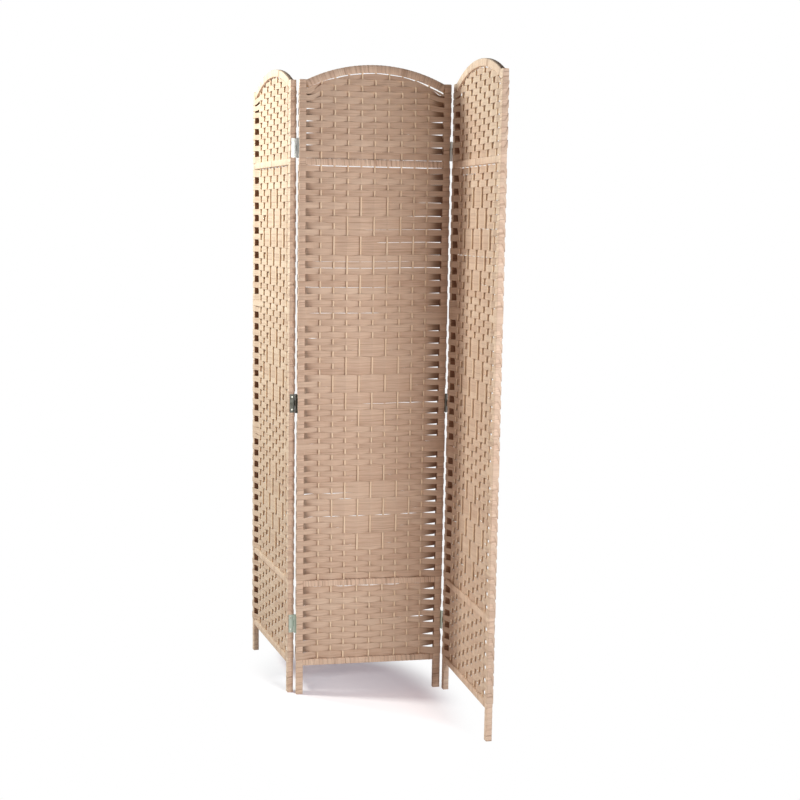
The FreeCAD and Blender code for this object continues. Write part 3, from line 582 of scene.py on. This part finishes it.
def wind(place, length, outline, normals, turns_of, rng, shift):
    """Rings of one ribbon wound round a bar from end to end, each turn lapping over the one before."""
    width, pitch = turns_of
    per_turn = len(outline)
    turns = max(1, round((length - width) / pitch))
    step = (length - width) / turns
    count = (turns + 2) * per_turn + 1
    tau = np.arange(count) / per_turn
    wobble = wander(rng, count, WOBBLE, per_turn)
    axial = width / 2 + step * np.clip(tau - 1, 0, turns) + wobble * (tau > 1) * (tau < turns + 1)
    index = (np.arange(count) + shift) % per_turn
    lap = WOUND_LAP + wander(rng, count, LAP_SHIFT, 4)
    base = WOUND_SINK + wander(rng, count, SEAT_SHIFT, 5)
    breadth = width / 2 + wander(rng, count, HALF_SHIFT, per_turn)
    low = np.maximum(axial - breadth, 0) - axial
    high = np.minimum(axial + breadth, length) - axial
    centre, normal, along, stretch = place(axial, outline[index], normals[index])
    centre = centre + normal * base[:, None]
    rings = strip_rings(centre, normal, along, low * stretch, high * stretch, WOUND_THICK, 0.0, -lap)
    return rings, normals[index]


ACROSS_WRAP = WRAP_HALF * np.array([-1.0, 1.0, 1.0, -1.0, -1.0])


def on_stile(left, swell):
    """Placement of a winding round a stile whose outer side faces left or right and may swell."""
    start = 0.0 if left else WIDTH - STILE
    outwards = -1.0 if left else 1.0

    def place(axial, points, normals):
        zero = np.zeros(len(axial))
        clear = np.min([np.abs(axial - level) for level in HINGE_LEVELS], axis=0)
        free = smooth((clear - SWELL_CLEAR) / SWELL_RUN)
        grown = swell * outwards * free * np.clip(outwards * normals[:, 0], 0, 1)
        centre = np.stack([points[:, 0] + start + grown, points[:, 1], axial], 1)
        normal = np.stack([normals[:, 0], normals[:, 1], zero], 1)
        return centre, normal, np.tile([0.0, 0.0, 1.0], (len(axial), 1)), 1.0

    return place


def on_rail(level):
    """Placement of a winding round a straight rail."""
    def place(axial, points, normals):
        zero = np.zeros(len(axial))
        x = axial + STILE - TUCK
        centre = np.stack([x, points[:, 0] + RAIL_FRONT, points[:, 1] + level], 1)
        normal = np.stack([zero, normals[:, 0], normals[:, 1]], 1)
        return centre, normal, np.tile([1.0, 0.0, 0.0], (len(axial), 1)), 1.0

    return place


ARCH_MIDDLE = ARCH_RADIUS - ARCH_BAND / 2
ARCH_REACH = math.asin((WIDTH / 2 - STILE + TUCK) / ARCH_MIDDLE)


def on_arch(axial, points, normals):
    """Placement of a winding round the curved top rail."""
    angle = axial / ARCH_MIDDLE - ARCH_REACH
    radius = ARCH_RADIUS - ARCH_BAND + points[:, 1]
    out_x, out_z = np.sin(angle), np.cos(angle)
    x, z = WIDTH / 2 + radius * out_x, ARCH_CENTRE + radius * out_z
    centre = np.stack([x, points[:, 0] + RAIL_FRONT, z], 1)
    normal = np.stack([normals[:, 1] * out_x, normals[:, 0], normals[:, 1] * out_z], 1)
    along = np.stack([out_z, np.zeros(len(axial)), -out_x], 1)
    return centre, normal, along, radius / ARCH_MIDDLE


def stile_cap(left, rng):
    """Rings of the folded ribbon that closes the top of a stile."""
    start = 0.0 if left else WIDTH - STILE
    rings = []
    for drop, inset in ((3.0, 0.75), (1.4, 0.28), (0.5, 0.4), (0.1, 1.3)):
        outline, _ = ring_outline(STILE - 2 * inset, DEPTH - 2 * inset, 2.2, 4)
        x, y = outline[::-1].T
        z = SHOULDER - drop + 0.5 * rng.uniform(-0.08, 0.08, len(outline))
        rings.append(np.stack([x + inset + start, y + inset, z], 1))
    return rings


def wrap_panel(panel, seed, material):
    """Wound stiles and rails of one panel."""
    rng = np.random.default_rng(seed)
    outline, normals = ring_outline(STILE, DEPTH, 2.0, 3)
    shell = Shell()
    for left in (True, False):
        shift = 0 if left else 6
        swell = SWELL if (panel, "left" if left else "right") in TIGHT_GAP else 0.0
        place = on_stile(left, swell)
        rings, facing = wind(place, SHOULDER - 1.0, outline, normals, STILE_TURNS, rng, shift)
        # Painted shade on the inner side of each stile above the bottom rail, where it faces into the weave.
        inwards = np.clip(facing[:, 0] if left else -facing[:, 0], 0, 1)
        woven = smooth((rings[:, :, 2].min(1) - RAILS["bottom"]) / 10.0)
        shell.loft(rings, ACROSS_WRAP, inwards * woven, (0,))
        rings = stile_cap(left, rng)
        shell.loft(rings, np.linspace(-10, 10, len(rings[0]) + 1))
    shell.build(f"{panel}_stile_wraps", panel, "wrap_ribbon", material, "stile_wraps")

    shell = Shell()
    outline, normals = ring_outline(RAIL_DEPTH, RAIL_HEIGHT, 2.0, 3)
    length = WIDTH - 2 * STILE + 2 * TUCK
    for level in RAILS.values():
        shell.loft(wind(on_rail(level), length, outline, normals, RAIL_TURNS, rng, 3)[0], ACROSS_WRAP)
    outline, normals = ring_outline(RAIL_DEPTH, ARCH_BAND, 2.4, 3)
    length = 2 * ARCH_REACH * ARCH_MIDDLE
    shell.loft(wind(on_arch, length, outline, normals, ARCH_TURNS, rng, 3)[0], ACROSS_WRAP)
    shell.build(f"{panel}_rail_wraps", panel, "wrap_ribbon", material, "rail_wraps")


def rods_panel(panel, seed, material):
    """Slightly uneven rods of one panel."""
    rng = np.random.default_rng(seed)
    shell = Shell()
    k = 10
    around = -2 * math.pi * np.arange(k) / k
    bottom = RAILS["bottom"] + RAIL_HEIGHT - ROD_SEAT
    for rod in RODS:
        top = float(arch_underside(np.array(rod), 0.0)) + ROD_SEAT
        z = np.linspace(bottom, top, 44)
        radius = ROD_RADIUS + wander(rng, len(z), 0.13, 2)
        dx, dy = wander(rng, len(z), 0.35, 5), wander(rng, len(z), 0.08, 5)
        rings = np.stack([
            rod + dx[:, None] + radius[:, None] * np.cos(around),
            DEPTH / 2 + dy[:, None] + radius[:, None] * np.sin(around),
            np.repeat(z[:, None], k, 1),
        ], 2)
        shell.loft(rings, np.linspace(0, 2 * math.pi * ROD_RADIUS, k + 1))
    shell.build(f"{panel}_rods", panel, "rod_wood", material, "warp_rods")


def screws_panel(panel, seed, material):
    """Countersunk cross-recessed screws in the hinged stiles of one panel."""
    rng = np.random.default_rng(seed)
    k = 24
    angles = 2 * math.pi * np.arange(k) / k
    fold = np.abs((angles + math.pi / 4) % (math.pi / 2) - math.pi / 4)
    cross = np.minimum(1.55, 0.42 / np.maximum(np.sin(fold), 1e-6))
    # Depth below the head's face and radius, from the tip to the bottom of the cross recess
    profile = [(12.0, 0.12), (9.0, 1.45), (1.5, 1.45), (0.35, 2.6), (0.12, 2.78), (0.0, 2.62), (-0.1, 2.1)]
    profile += [(-0.1, cross * 1.06), (0.0, cross), (0.75, cross * 0.72)]
    shell = Shell()
    for side in HINGED[panel]:
        face, inwards = (-LEAF, 1.0) if side == "left" else (WIDTH + LEAF, -1.0)
        for level in HINGE_LEVELS:
            for offset in (-SCREW_SPACING / 2, SCREW_SPACING / 2):
                spin = rng.uniform(0, math.pi)
                rings = []
                for deep, radii in profile:
                    turn = (angles + spin) * inwards
                    y = DEPTH / 2 + radii * np.cos(turn)
                    z = level + offset + radii * np.sin(turn)
                    rings.append(np.stack([np.full(k, face + inwards * (deep + 0.02)), y, z], 1))
                shell.loft(rings, np.linspace(0, 9.0, k + 1))
    shell.build(f"{panel}_screws", panel, "screw_steel", material, "hinge_screws")


# Materials

WHITE, UNSHADED = (1.0, 1.0, 1.0, 1.0), (255, 255, 255)


class Graph:
    """Node tree that is filled node by node."""

    def __init__(self, tree):
        self.tree = tree

    def add(self, kind, inputs=(), **settings):
        """New node; inputs are pairs of a socket and a number or another node's output."""
        node = self.tree.nodes.new("ShaderNode" + kind)
        for name, setting in settings.items():
            setattr(node, name, setting)
        for socket, given in inputs:
            self.join(node.inputs[socket], given)
        return node

    def join(self, socket, given):
        """Set a socket or link it."""
        if isinstance(given, bpy.types.NodeSocket):
            self.tree.links.new(given, socket)
        else:
            socket.default_value = given

    def number(self, operation, *inputs):
        """Result of one sum on numbers or outputs."""
        return self.add("Math", list(enumerate(inputs)), operation=operation).outputs[0]

    def shown(self):
        """1 for rays seen by the camera, directly or in metal and glass, and else 0."""
        path = self.add("LightPath")
        total = path.outputs["Is Camera Ray"]
        for name in ("Is Glossy Ray", "Is Transmission Ray"):
            total = self.number("MAXIMUM", total, path.outputs[name])
        return total


class Surface(Graph):
    """Node material around one Principled shader."""

    def __init__(self, name):
        self.material = bpy.data.materials.new(name)
        self.material.use_nodes = True
        super().__init__(self.material.node_tree)
        self.shader = self.tree.nodes["Principled BSDF"]

    def set(self, name, given):
        """Set or link one input of the shader."""
        self.join(self.shader.inputs[name], given)

    def relief(self, strength, distance, height):
        """Bump of the shader's normal."""
        bump = self.add("Bump", [("Strength", strength), ("Distance", distance), ("Height", height)])
        self.set("Normal", bump.outputs["Normal"])

    def stretched_noise(self, coordinates, scale, detail, rough=0.55):
        """Noise drawn out along the fibres."""
        scaled = self.add("VectorMath", [(0, coordinates), (1, scale)], operation="MULTIPLY")
        inputs = [("Vector", scaled.outputs[0]), ("Scale", 1.0), ("Detail", detail), ("Roughness", rough)]
        return self.add("TexNoise", inputs).outputs["Fac"]

    def blend(self, factor, first, second, kind="MIX"):
        """Mix of two colours."""
        inputs = [("Factor", factor), (6, first), (7, second)]
        return self.add("Mix", inputs, data_type="RGBA", blend_type=kind).outputs[2]

    def ramp(self, factor, positions, colours):
        """Colour ramp of given stops."""
        node = self.add("ValToRGB", [("Fac", factor)])
        elements = node.color_ramp.elements
        while len(elements) < len(positions):
            elements.new(0.5)
        for element, position, colour in zip(elements, positions, colours):
            element.position = position
            element.color = (*linear(colour), 1.0)
        return node.outputs["Color"]

    def spread(self, factor, low, high):
        """Number between two limits."""
        node = self.add("MapRange", [("Value", factor), ("To Min", low), ("To Max", high)])
        return node.outputs["Result"]


def linear(colour):
    """Linear colour of 8-bit display values."""
    return [c / 255 / 12.92 if c <= 10 else ((c / 255 + 0.055) / 1.055) ** 2.4 for c in colour]


def paper(name, tones, streaks, runs, half_width, pleated, crease_shade, edge, painted_shade_colour):
    """Matt paper ribbon with fibres along it and a tone for each run, with painted shade in its pleats, along
    its edges and beside the stiles.
    """
    surface = Surface(name)
    along = surface.add("UVMap", uv_map="fibre").outputs["UV"]
    tone = surface.stretched_noise(along, (runs, 21.0, 1.0), 1.0)
    streak = surface.stretched_noise(along, (16.0, 620.0, 1.0), 4.0, 0.65)
    fine = surface.stretched_noise(along, (60.0, 2600.0, 1.0), 2.0)
    pleat = surface.stretched_noise(along, (5.0, pleated, 1.0), 1.5)
    colour = surface.ramp(tone, (0.3, 0.5, 0.7), tones)
    fibres = surface.ramp(streak, (0.28, 0.5, 0.72), streaks)
    mixed = surface.blend(0.5, colour, fibres)
    # Painted shade in the pleats: the ribbon is darkened along the pleat lines that also raise its bump.
    crease_shading = surface.ramp(pleat, (0.34, 0.46), (crease_shade, UNSHADED))
    across = surface.add("SeparateXYZ", [("Vector", along)]).outputs["Y"]
    lane = surface.number("FRACT", surface.number("MULTIPLY_ADD", across, 1000.0 / LANE, 0.5))
    off = surface.number("ABSOLUTE", surface.number("SUBTRACT", lane, 0.5))
    # Painted shade along each ribbon's edges, darkening the seams between ribbons.
    inputs = [("Value", off), ("From Min", half_width * 0.017), ("From Max", half_width * 0.02)]
    wear_and_seam_shade = surface.add("MapRange", inputs).outputs["Result"]
    edges = surface.ramp(wear_and_seam_shade, (0.0, 1.0), (UNSHADED, edge))
    # Painted shade beside the stiles, read from its own map, darkens the rows in the recesses there.
    shelter = surface.add("UVMap", uv_map="shelter").outputs["UV"]
    shelter = surface.add("SeparateXYZ", [("Vector", shelter)]).outputs["X"]
    deep = surface.ramp(shelter, (0.0, 1.0), (UNSHADED, painted_shade_colour))
    for shade in (crease_shading, edges, deep):
        mixed = surface.blend(1.0, mixed, shade, "MULTIPLY")
    surface.set("Base Color", mixed)
    surface.set("Roughness", surface.spread(fine, 0.62, 0.9))
    surface.set("Specular IOR Level", 0.28)
    height = surface.number("MULTIPLY_ADD", fine, 0.35, surface.number("ADD", streak, pleat))
    surface.relief(0.7, 0.0004, height)
    return surface.material


def peeled_wood(name, tones):
    """Pale peeled rod with a fine grain along it."""
    surface = Surface(name)
    along = surface.add("UVMap", uv_map="fibre").outputs["UV"]
    grain = surface.stretched_noise(along, (9.0, 900.0, 1.0), 4.0, 0.6)
    patch = surface.stretched_noise(along, (14.0, 20.0, 1.0), 2.0)
    colour = surface.ramp(grain, (0.3, 0.52, 0.7), tones)
    wear_and_seam_shade = surface.ramp(patch, (0.35, 0.6), (tones[0], tones[2]))
    surface.set("Base Color", surface.blend(0.35, colour, wear_and_seam_shade))
    surface.set("Roughness", surface.spread(grain, 0.5, 0.72))
    surface.relief(0.3, 0.0003, grain)
    return surface.material


def sawn_wood(name, tones, stretch):
    """Plain sawn wood of the hidden frame, its grain along one axis."""
    surface = Surface(name)
    place = surface.add("TexCoord").outputs["Object"]
    grain = surface.stretched_noise(place, stretch, 5.0, 0.6)
    fine = surface.stretched_noise(place, tuple(4 * s for s in stretch), 3.0)
    colour = surface.ramp(grain, (0.3, 0.5, 0.68), tones)
    surface.set("Base Color", colour)
    surface.set("Roughness", surface.spread(fine, 0.6, 0.85))
    surface.relief(0.3, 0.0004, fine)
    return surface.material


def plated_steel(name, tones, painted_light_by_height=()):
    """Zinc-plated steel with faint drawing lines and dull patches, and painted shade and painted reflection
    that differ by height.
    """
    surface = Surface(name)
    place = surface.add("TexCoord").outputs["Object"]
    lines = surface.stretched_noise(place, (260.0, 260.0, 2400.0), 3.0)
    patch = surface.stretched_noise(place, (90.0, 90.0, 60.0), 3.0)
    colour = surface.ramp(patch, (0.32, 0.52, 0.7), tones)
    # Painted light by height: dark as painted shade at the middle hinge, pale as painted reflection at the
    # top and bottom hinges, with a greenish tint at the bottom.
    if painted_light_by_height:
        height = surface.add("SeparateXYZ", [("Vector", place)]).outputs["Z"]
        level = surface.add("MapRange", [("Value", height), ("From Max", 1.7)]).outputs["Result"]
        colour = surface.blend(0.75, colour, surface.ramp(level, *painted_light_by_height))
    surface.set("Base Color", colour)
    surface.set("Metallic", 1.0)
    surface.set("Roughness", surface.spread(patch, 0.18, 0.42))
    surface.relief(0.12, 0.0001, lines)
    return surface.material


# The last three colours of each paper are painted shade: in the pleats, along the edges, and in the recesses
# beside the stiles.
RIBBON = paper(
    "woven_ribbon",
    ((192, 160, 138), (209, 182, 160), (221, 198, 177)),
    ((178, 145, 122), (210, 183, 161), (229, 207, 187)),
    runs=1.3,
    half_width=RIBBON_HALF,
    pleated=330.0,
    crease_shade=(236, 232, 230),
    edge=(232, 226, 222),
    painted_shade_colour=(200, 183, 172),
)
WRAP = paper(
    "wrap_ribbon",
    ((203, 171, 149), (219, 190, 168), (229, 206, 185)),
    ((178, 144, 121), (221, 193, 170), (243, 225, 206)),
    runs=9.0,
    half_width=WRAP_HALF,
    pleated=190.0,
    crease_shade=(218, 211, 207),
    edge=(214, 207, 202),
    painted_shade_colour=(164, 140, 122),
)
ROD = peeled_wood("rod_wood", ((222, 193, 162), (236, 212, 183), (245, 227, 203)))
WOOD = sawn_wood("frame_wood", ((168, 124, 80), (192, 150, 104), (208, 170, 124)), (220.0, 220.0, 9.0))
# The hinge colour by height is painted shade at the middle hinge and painted reflection at the top and bottom
# hinges.
STEEL = plated_steel(
    "hinge_steel",
    ((98, 98, 88), (128, 128, 118), (152, 151, 142)),
    painted_light_by_height=((0.2, 0.42, 0.55, 0.8), ((188, 200, 186), (62, 60, 54), (62, 60, 54), (182, 182, 178))),
)
SCREW = plated_steel("screw_steel", ((168, 166, 154), (200, 198, 186), (216, 214, 204)))

# Slits between rows, as the lower number of the two, start and end across the panel, and gap in millimetres
SLITS = {
    "left": {"middle": [(13, 0.3, 0.6, 0.5), (41, 0.2, 0.7, 0.6)]},
    "right": {"middle": [(1, 0.15, 0.5, 0.7), (9, 0.5, 1.0, 0.9), (13, 0.0, 0.85, 1.2), (17, 0.6, 1.0, 0.9)]},
    "centre": {
        "top": [(4, 0.66, 0.76, 0.6)],
        "bottom": [(7, 0.7, 0.95, 1.6)],
        "middle": [
            (6, 0.74, 1.0, 0.5),
            (8, 0.72, 1.0, 0.9),
            (10, 0.4, 1.0, 0.45),
            (12, 0.5, 1.0, 0.9),
            (15, 0.1, 0.8, 0.6),
            (16, 0.08, 1.0, 1.1),
            (19, 0.0, 0.62, 0.9),
            (23, 0.08, 0.56, 1.1),
            (27, 0.06, 0.16, 1.8),
            (38, 0.42, 1.0, 1.0),
            (54, 0.02, 0.4, 0.9),
            (55, 0.26, 0.42, 0.8),
            (58, 0.05, 0.95, 0.9),
        ],
    },
}

# How far rows behind the stiles stop short of the front rows' edges, at the top, middle and bottom of a field
EVEN = (-0.6, -0.6, -0.6)
SNUG = {"low": EVEN, "high": EVEN}
TRIMS = {
    ("centre", "top"): (
        {"low": (-0.8, -0.8, -0.8), "high": (-1.6, 1.6, 0.8)},
        {"low": (-0.4, -0.2, 0.2), "high": (-0.4, 0.4, 0.6)},
    ),
    ("centre", "middle"): (
        {"low": (-0.8, -3.4, -5.8), "high": (-1.8, -0.6, -0.4)},
        {"low": (-0.6, 0.6, 1.9), "high": (-1.4, -0.6, -0.4)},
    ),
    ("centre", "bottom"): (
        {"low": (-5.6, -5.8, -6.2), "high": (-0.4, -0.4, -0.4)},
        {"low": (1.9, 1.8, 1.7), "high": (-0.4, -0.4, -0.4)},
    ),
    ("right", "middle"): (SNUG, {"low": (-0.6, -1.6, -7.0), "high": EVEN}),
    ("right", "bottom"): (SNUG, {"low": (-6.5, -6.5, -6.5), "high": EVEN}),
}

# Depth, power and lead of the sag of each middle field
SAGS = {"left": (15.0, 0.55, 0.0), "centre": (19.5, 3, 0.025), "right": (7.0, 1.5, 0.0)}
# Packed and slack parts of the centre's middle field: start, run and shift
PACKED, SLACK = (0.0, 0.14, -4.5), (0.78, 0.22, 3.0)


def middle_sag(panel, share):
    """How far the rows of a middle field hang below even spacing, by their share of the way down."""
    depth, power, lead = SAGS[panel]
    sag = depth * np.abs(np.sin(math.pi * (share + lead))) ** power
    for start, run, shift in (PACKED, SLACK) if panel == "centre" else ():
        sag += shift * np.sin(math.pi * np.clip((share - start) / run, 0, 1))
    return sag


def field_looks(panel):
    """Trims beside the stiles, gaps along the rails, sag, rise and slits of a panel's three fields."""
    centre = panel == "centre"
    under_lower = 1.3 if centre else 0.5
    gaps = {
        "top": (lambda s: 0 * s, lambda s: 0.7 * bridge(s, 0.56, 1.0) - 0.1),
        "middle": (lambda s: 0.6 + 1.5 * bridge(s, 0.1, 0.9), lambda s: 0.3 + 0 * s),
        "bottom": (lambda s: 1.0 + under_lower * bridge(s, 0.24, 0.72), lambda s: 0.3 + 0 * s),
    }
    sags = {
        "top": lambda s: 0 * s,
        "middle": lambda s: middle_sag(panel, s),
        "bottom": lambda s: -2.5 * centre * np.sin(math.pi * s),
    }
    rises = {"top": 6.0, "middle": 4.2, "bottom": 5.0}
    looks = {}
    for name in ("top", "middle", "bottom"):
        left, right = TRIMS.get((panel, name), (SNUG, SNUG))
        looks[name] = {
            "left": left,
            "right": right,
            "top_gap": gaps[name][0],
            "bottom_gap": gaps[name][1],
            "slits": SLITS[panel].get(name, []),
            "sag": sags[name],
            "rise": rises[name] * centre,
        }
    return looks


for seed, panel in enumerate(PANELS, start=1):
    weave_panel(panel, 10 + seed, field_looks(panel), RIBBON)
    wrap_panel(panel, 20 + seed, WRAP)
    rods_panel(panel, 30 + seed, ROD)
    screws_panel(panel, 40 + seed, SCREW)

for name, solid in frame["nodes"].items():
    if solid.hide_render:
        continue
    finish = STEEL if "hinge" in name else WOOD
    solid.data.materials.clear()
    solid.data.materials.append(finish)


# Stage, light and camera

FLOOR_REACH, FLOOR_DROP = 14.0, 0.0005
FLOOR_COLOUR, NEAR_GLOW, NEAR_STRENGTH = (0.8, 0.79, 0.8, 1.0), (1.0, 0.89, 1.0, 1.0), 0.3
# Middle and scale of the part of the floor that keeps the shadow, and where it fades into white
ZONE_SHIFT, ZONE_SCALE, FADE_START, FADE_END = (0.2, 0.22, 0.0), (3.4, 2.0, 1.0), 0.7, 1.15
ROOM_COLOUR, ROOM_STRENGTH = (1.0, 0.89, 0.82, 1.0), 0.03
# Camera found from the panels' corners: place in metres, turns in radians, focal length in millimetres
CAMERA_PLACE = (-0.60084, -3.518237, 1.288819)
CAMERA_YAW, CAMERA_PITCH, CAMERA_ROLL = 0.19604, 0.13154, 0.01627
SENSOR, LENS = 36.0, 59.897


def make_world():
    """Soft even light from a room that looks white."""
    world = bpy.data.worlds.new("white_room")
    bpy.context.scene.world = world
    world.use_nodes = True
    world.node_tree.nodes.clear()
    graph = Graph(world.node_tree)
    soft = graph.add("Background", [("Color", ROOM_COLOUR), ("Strength", ROOM_STRENGTH)])
    white = graph.add("Background", [("Color", WHITE), ("Strength", 1.0)])
    mix = graph.add("MixShader", [(0, graph.shown()), (1, soft.outputs[0]), (2, white.outputs[0])])
    graph.add("OutputWorld", [("Surface", mix.outputs[0])])


def make_floor():
    """White floor that keeps the shadow near the screen and runs out into white."""
    mesh = bpy.data.meshes.new("floor")
    corners = [(x * FLOOR_REACH, y * FLOOR_REACH, 0) for x, y in ((-1, -1), (1, -1), (1, 1), (-1, 1))]
    mesh.from_pydata(corners, [], [(0, 1, 2, 3)])
    floor = bpy.data.objects.new("floor", mesh)
    floor.location.z = -FLOOR_DROP
    bpy.context.scene.collection.objects.link(floor)
    material = bpy.data.materials.new("white_floor")
    material.use_nodes = True
    material.node_tree.nodes.clear()
    graph = Graph(material.node_tree)
    diffuse = graph.add("BsdfDiffuse", [("Color", FLOOR_COLOUR)]).outputs[0]
    glow = graph.add("Emission", [("Color", NEAR_GLOW), ("Strength", NEAR_STRENGTH)]).outputs[0]
    near = graph.add("AddShader", [(0, diffuse), (1, glow)]).outputs[0]
    far = graph.add("Emission", [("Color", WHITE), ("Strength", 1.0)]).outputs[0]
    place = graph.add("TexCoord").outputs["Object"]
    zone = graph.add("Mapping", [("Vector", place), ("Location", ZONE_SHIFT), ("Scale", ZONE_SCALE)])
    distance = graph.add("VectorMath", [(0, zone.outputs["Vector"])], operation="LENGTH")
    inputs = [("Value", distance.outputs["Value"]), ("From Min", FADE_START), ("From Max", FADE_END)]
    fade = graph.add("MapRange", inputs, interpolation_type="SMOOTHSTEP")
    seen = graph.add("MixShader", [(0, fade.outputs["Result"]), (1, near), (2, far)]).outputs[0]
    mix = graph.add("MixShader", [(0, graph.shown()), (1, diffuse), (2, seen)]).outputs[0]
    graph.add("OutputMaterial", [("Surface", mix)])
    mesh.materials.append(material)


def area_lamp(name, place, target, width, height, watts, colour):
    """Soft rectangular lamp turned towards a point."""
    data = bpy.data.lights.new(name, "AREA")
    data.shape = "RECTANGLE"
    data.size, data.size_y = width, height
    data.energy = watts
    data.color = colour
    lamp = bpy.data.objects.new(name, data)
    lamp.location = place
    lamp.rotation_mode = "QUATERNION"
    lamp.rotation_quaternion = (Vector(target) - Vector(place)).to_track_quat("-Z", "Y")
    lamp.visible_camera = False
    bpy.context.scene.collection.objects.link(lamp)


def make_camera():
    """Camera with roll, aimed by yaw and pitch."""
    yaw, pitch, roll = CAMERA_YAW, CAMERA_PITCH, CAMERA_ROLL
    level = math.cos(pitch)
    forward = Vector((math.sin(yaw) * level, math.cos(yaw) * level, -math.sin(pitch)))
    right = Vector((math.cos(yaw), -math.sin(yaw), 0.0))
    up = right.cross(forward)
    across = math.cos(roll) * right + math.sin(roll) * up
    upright = math.cos(roll) * up - math.sin(roll) * right
    data = bpy.data.cameras.new("camera")
    data.sensor_width = SENSOR
    data.lens = LENS
    camera = bpy.data.objects.new("camera", data)
    axes = Matrix((across, upright, -forward)).transposed().to_4x4()
    camera.matrix_world = Matrix.Translation(CAMERA_PLACE) @ axes
    bpy.context.scene.collection.objects.link(camera)
    bpy.context.scene.camera = camera


make_world()
make_floor()
area_lamp("key", (-1.8, 0.49, 2.2), (0.0, 0.0, 1.2), 0.3, 0.6, 56.0, (0.94, 0.97, 0.92))
area_lamp("rim", (-1.5, 1.05, 2.3), (0.0, 0.0, 1.1), 0.3, 0.6, 15.0, (0.6, 1.0, 1.0))
area_lamp("side", (-1.8, -1.9, 0.8), (0.0, 0.0, 0.8), 0.3, 0.2, 9.8, (1.0, 0.64, 0.52))
area_lamp("fill", (0.74, -1.84, 1.1), (0.0, 0.0, 0.9), 0.8, 0.3, 27.6, (0.94, 0.96, 0.98))
make_camera()
bpy.context.scene.view_settings.view_transform = "Standard"
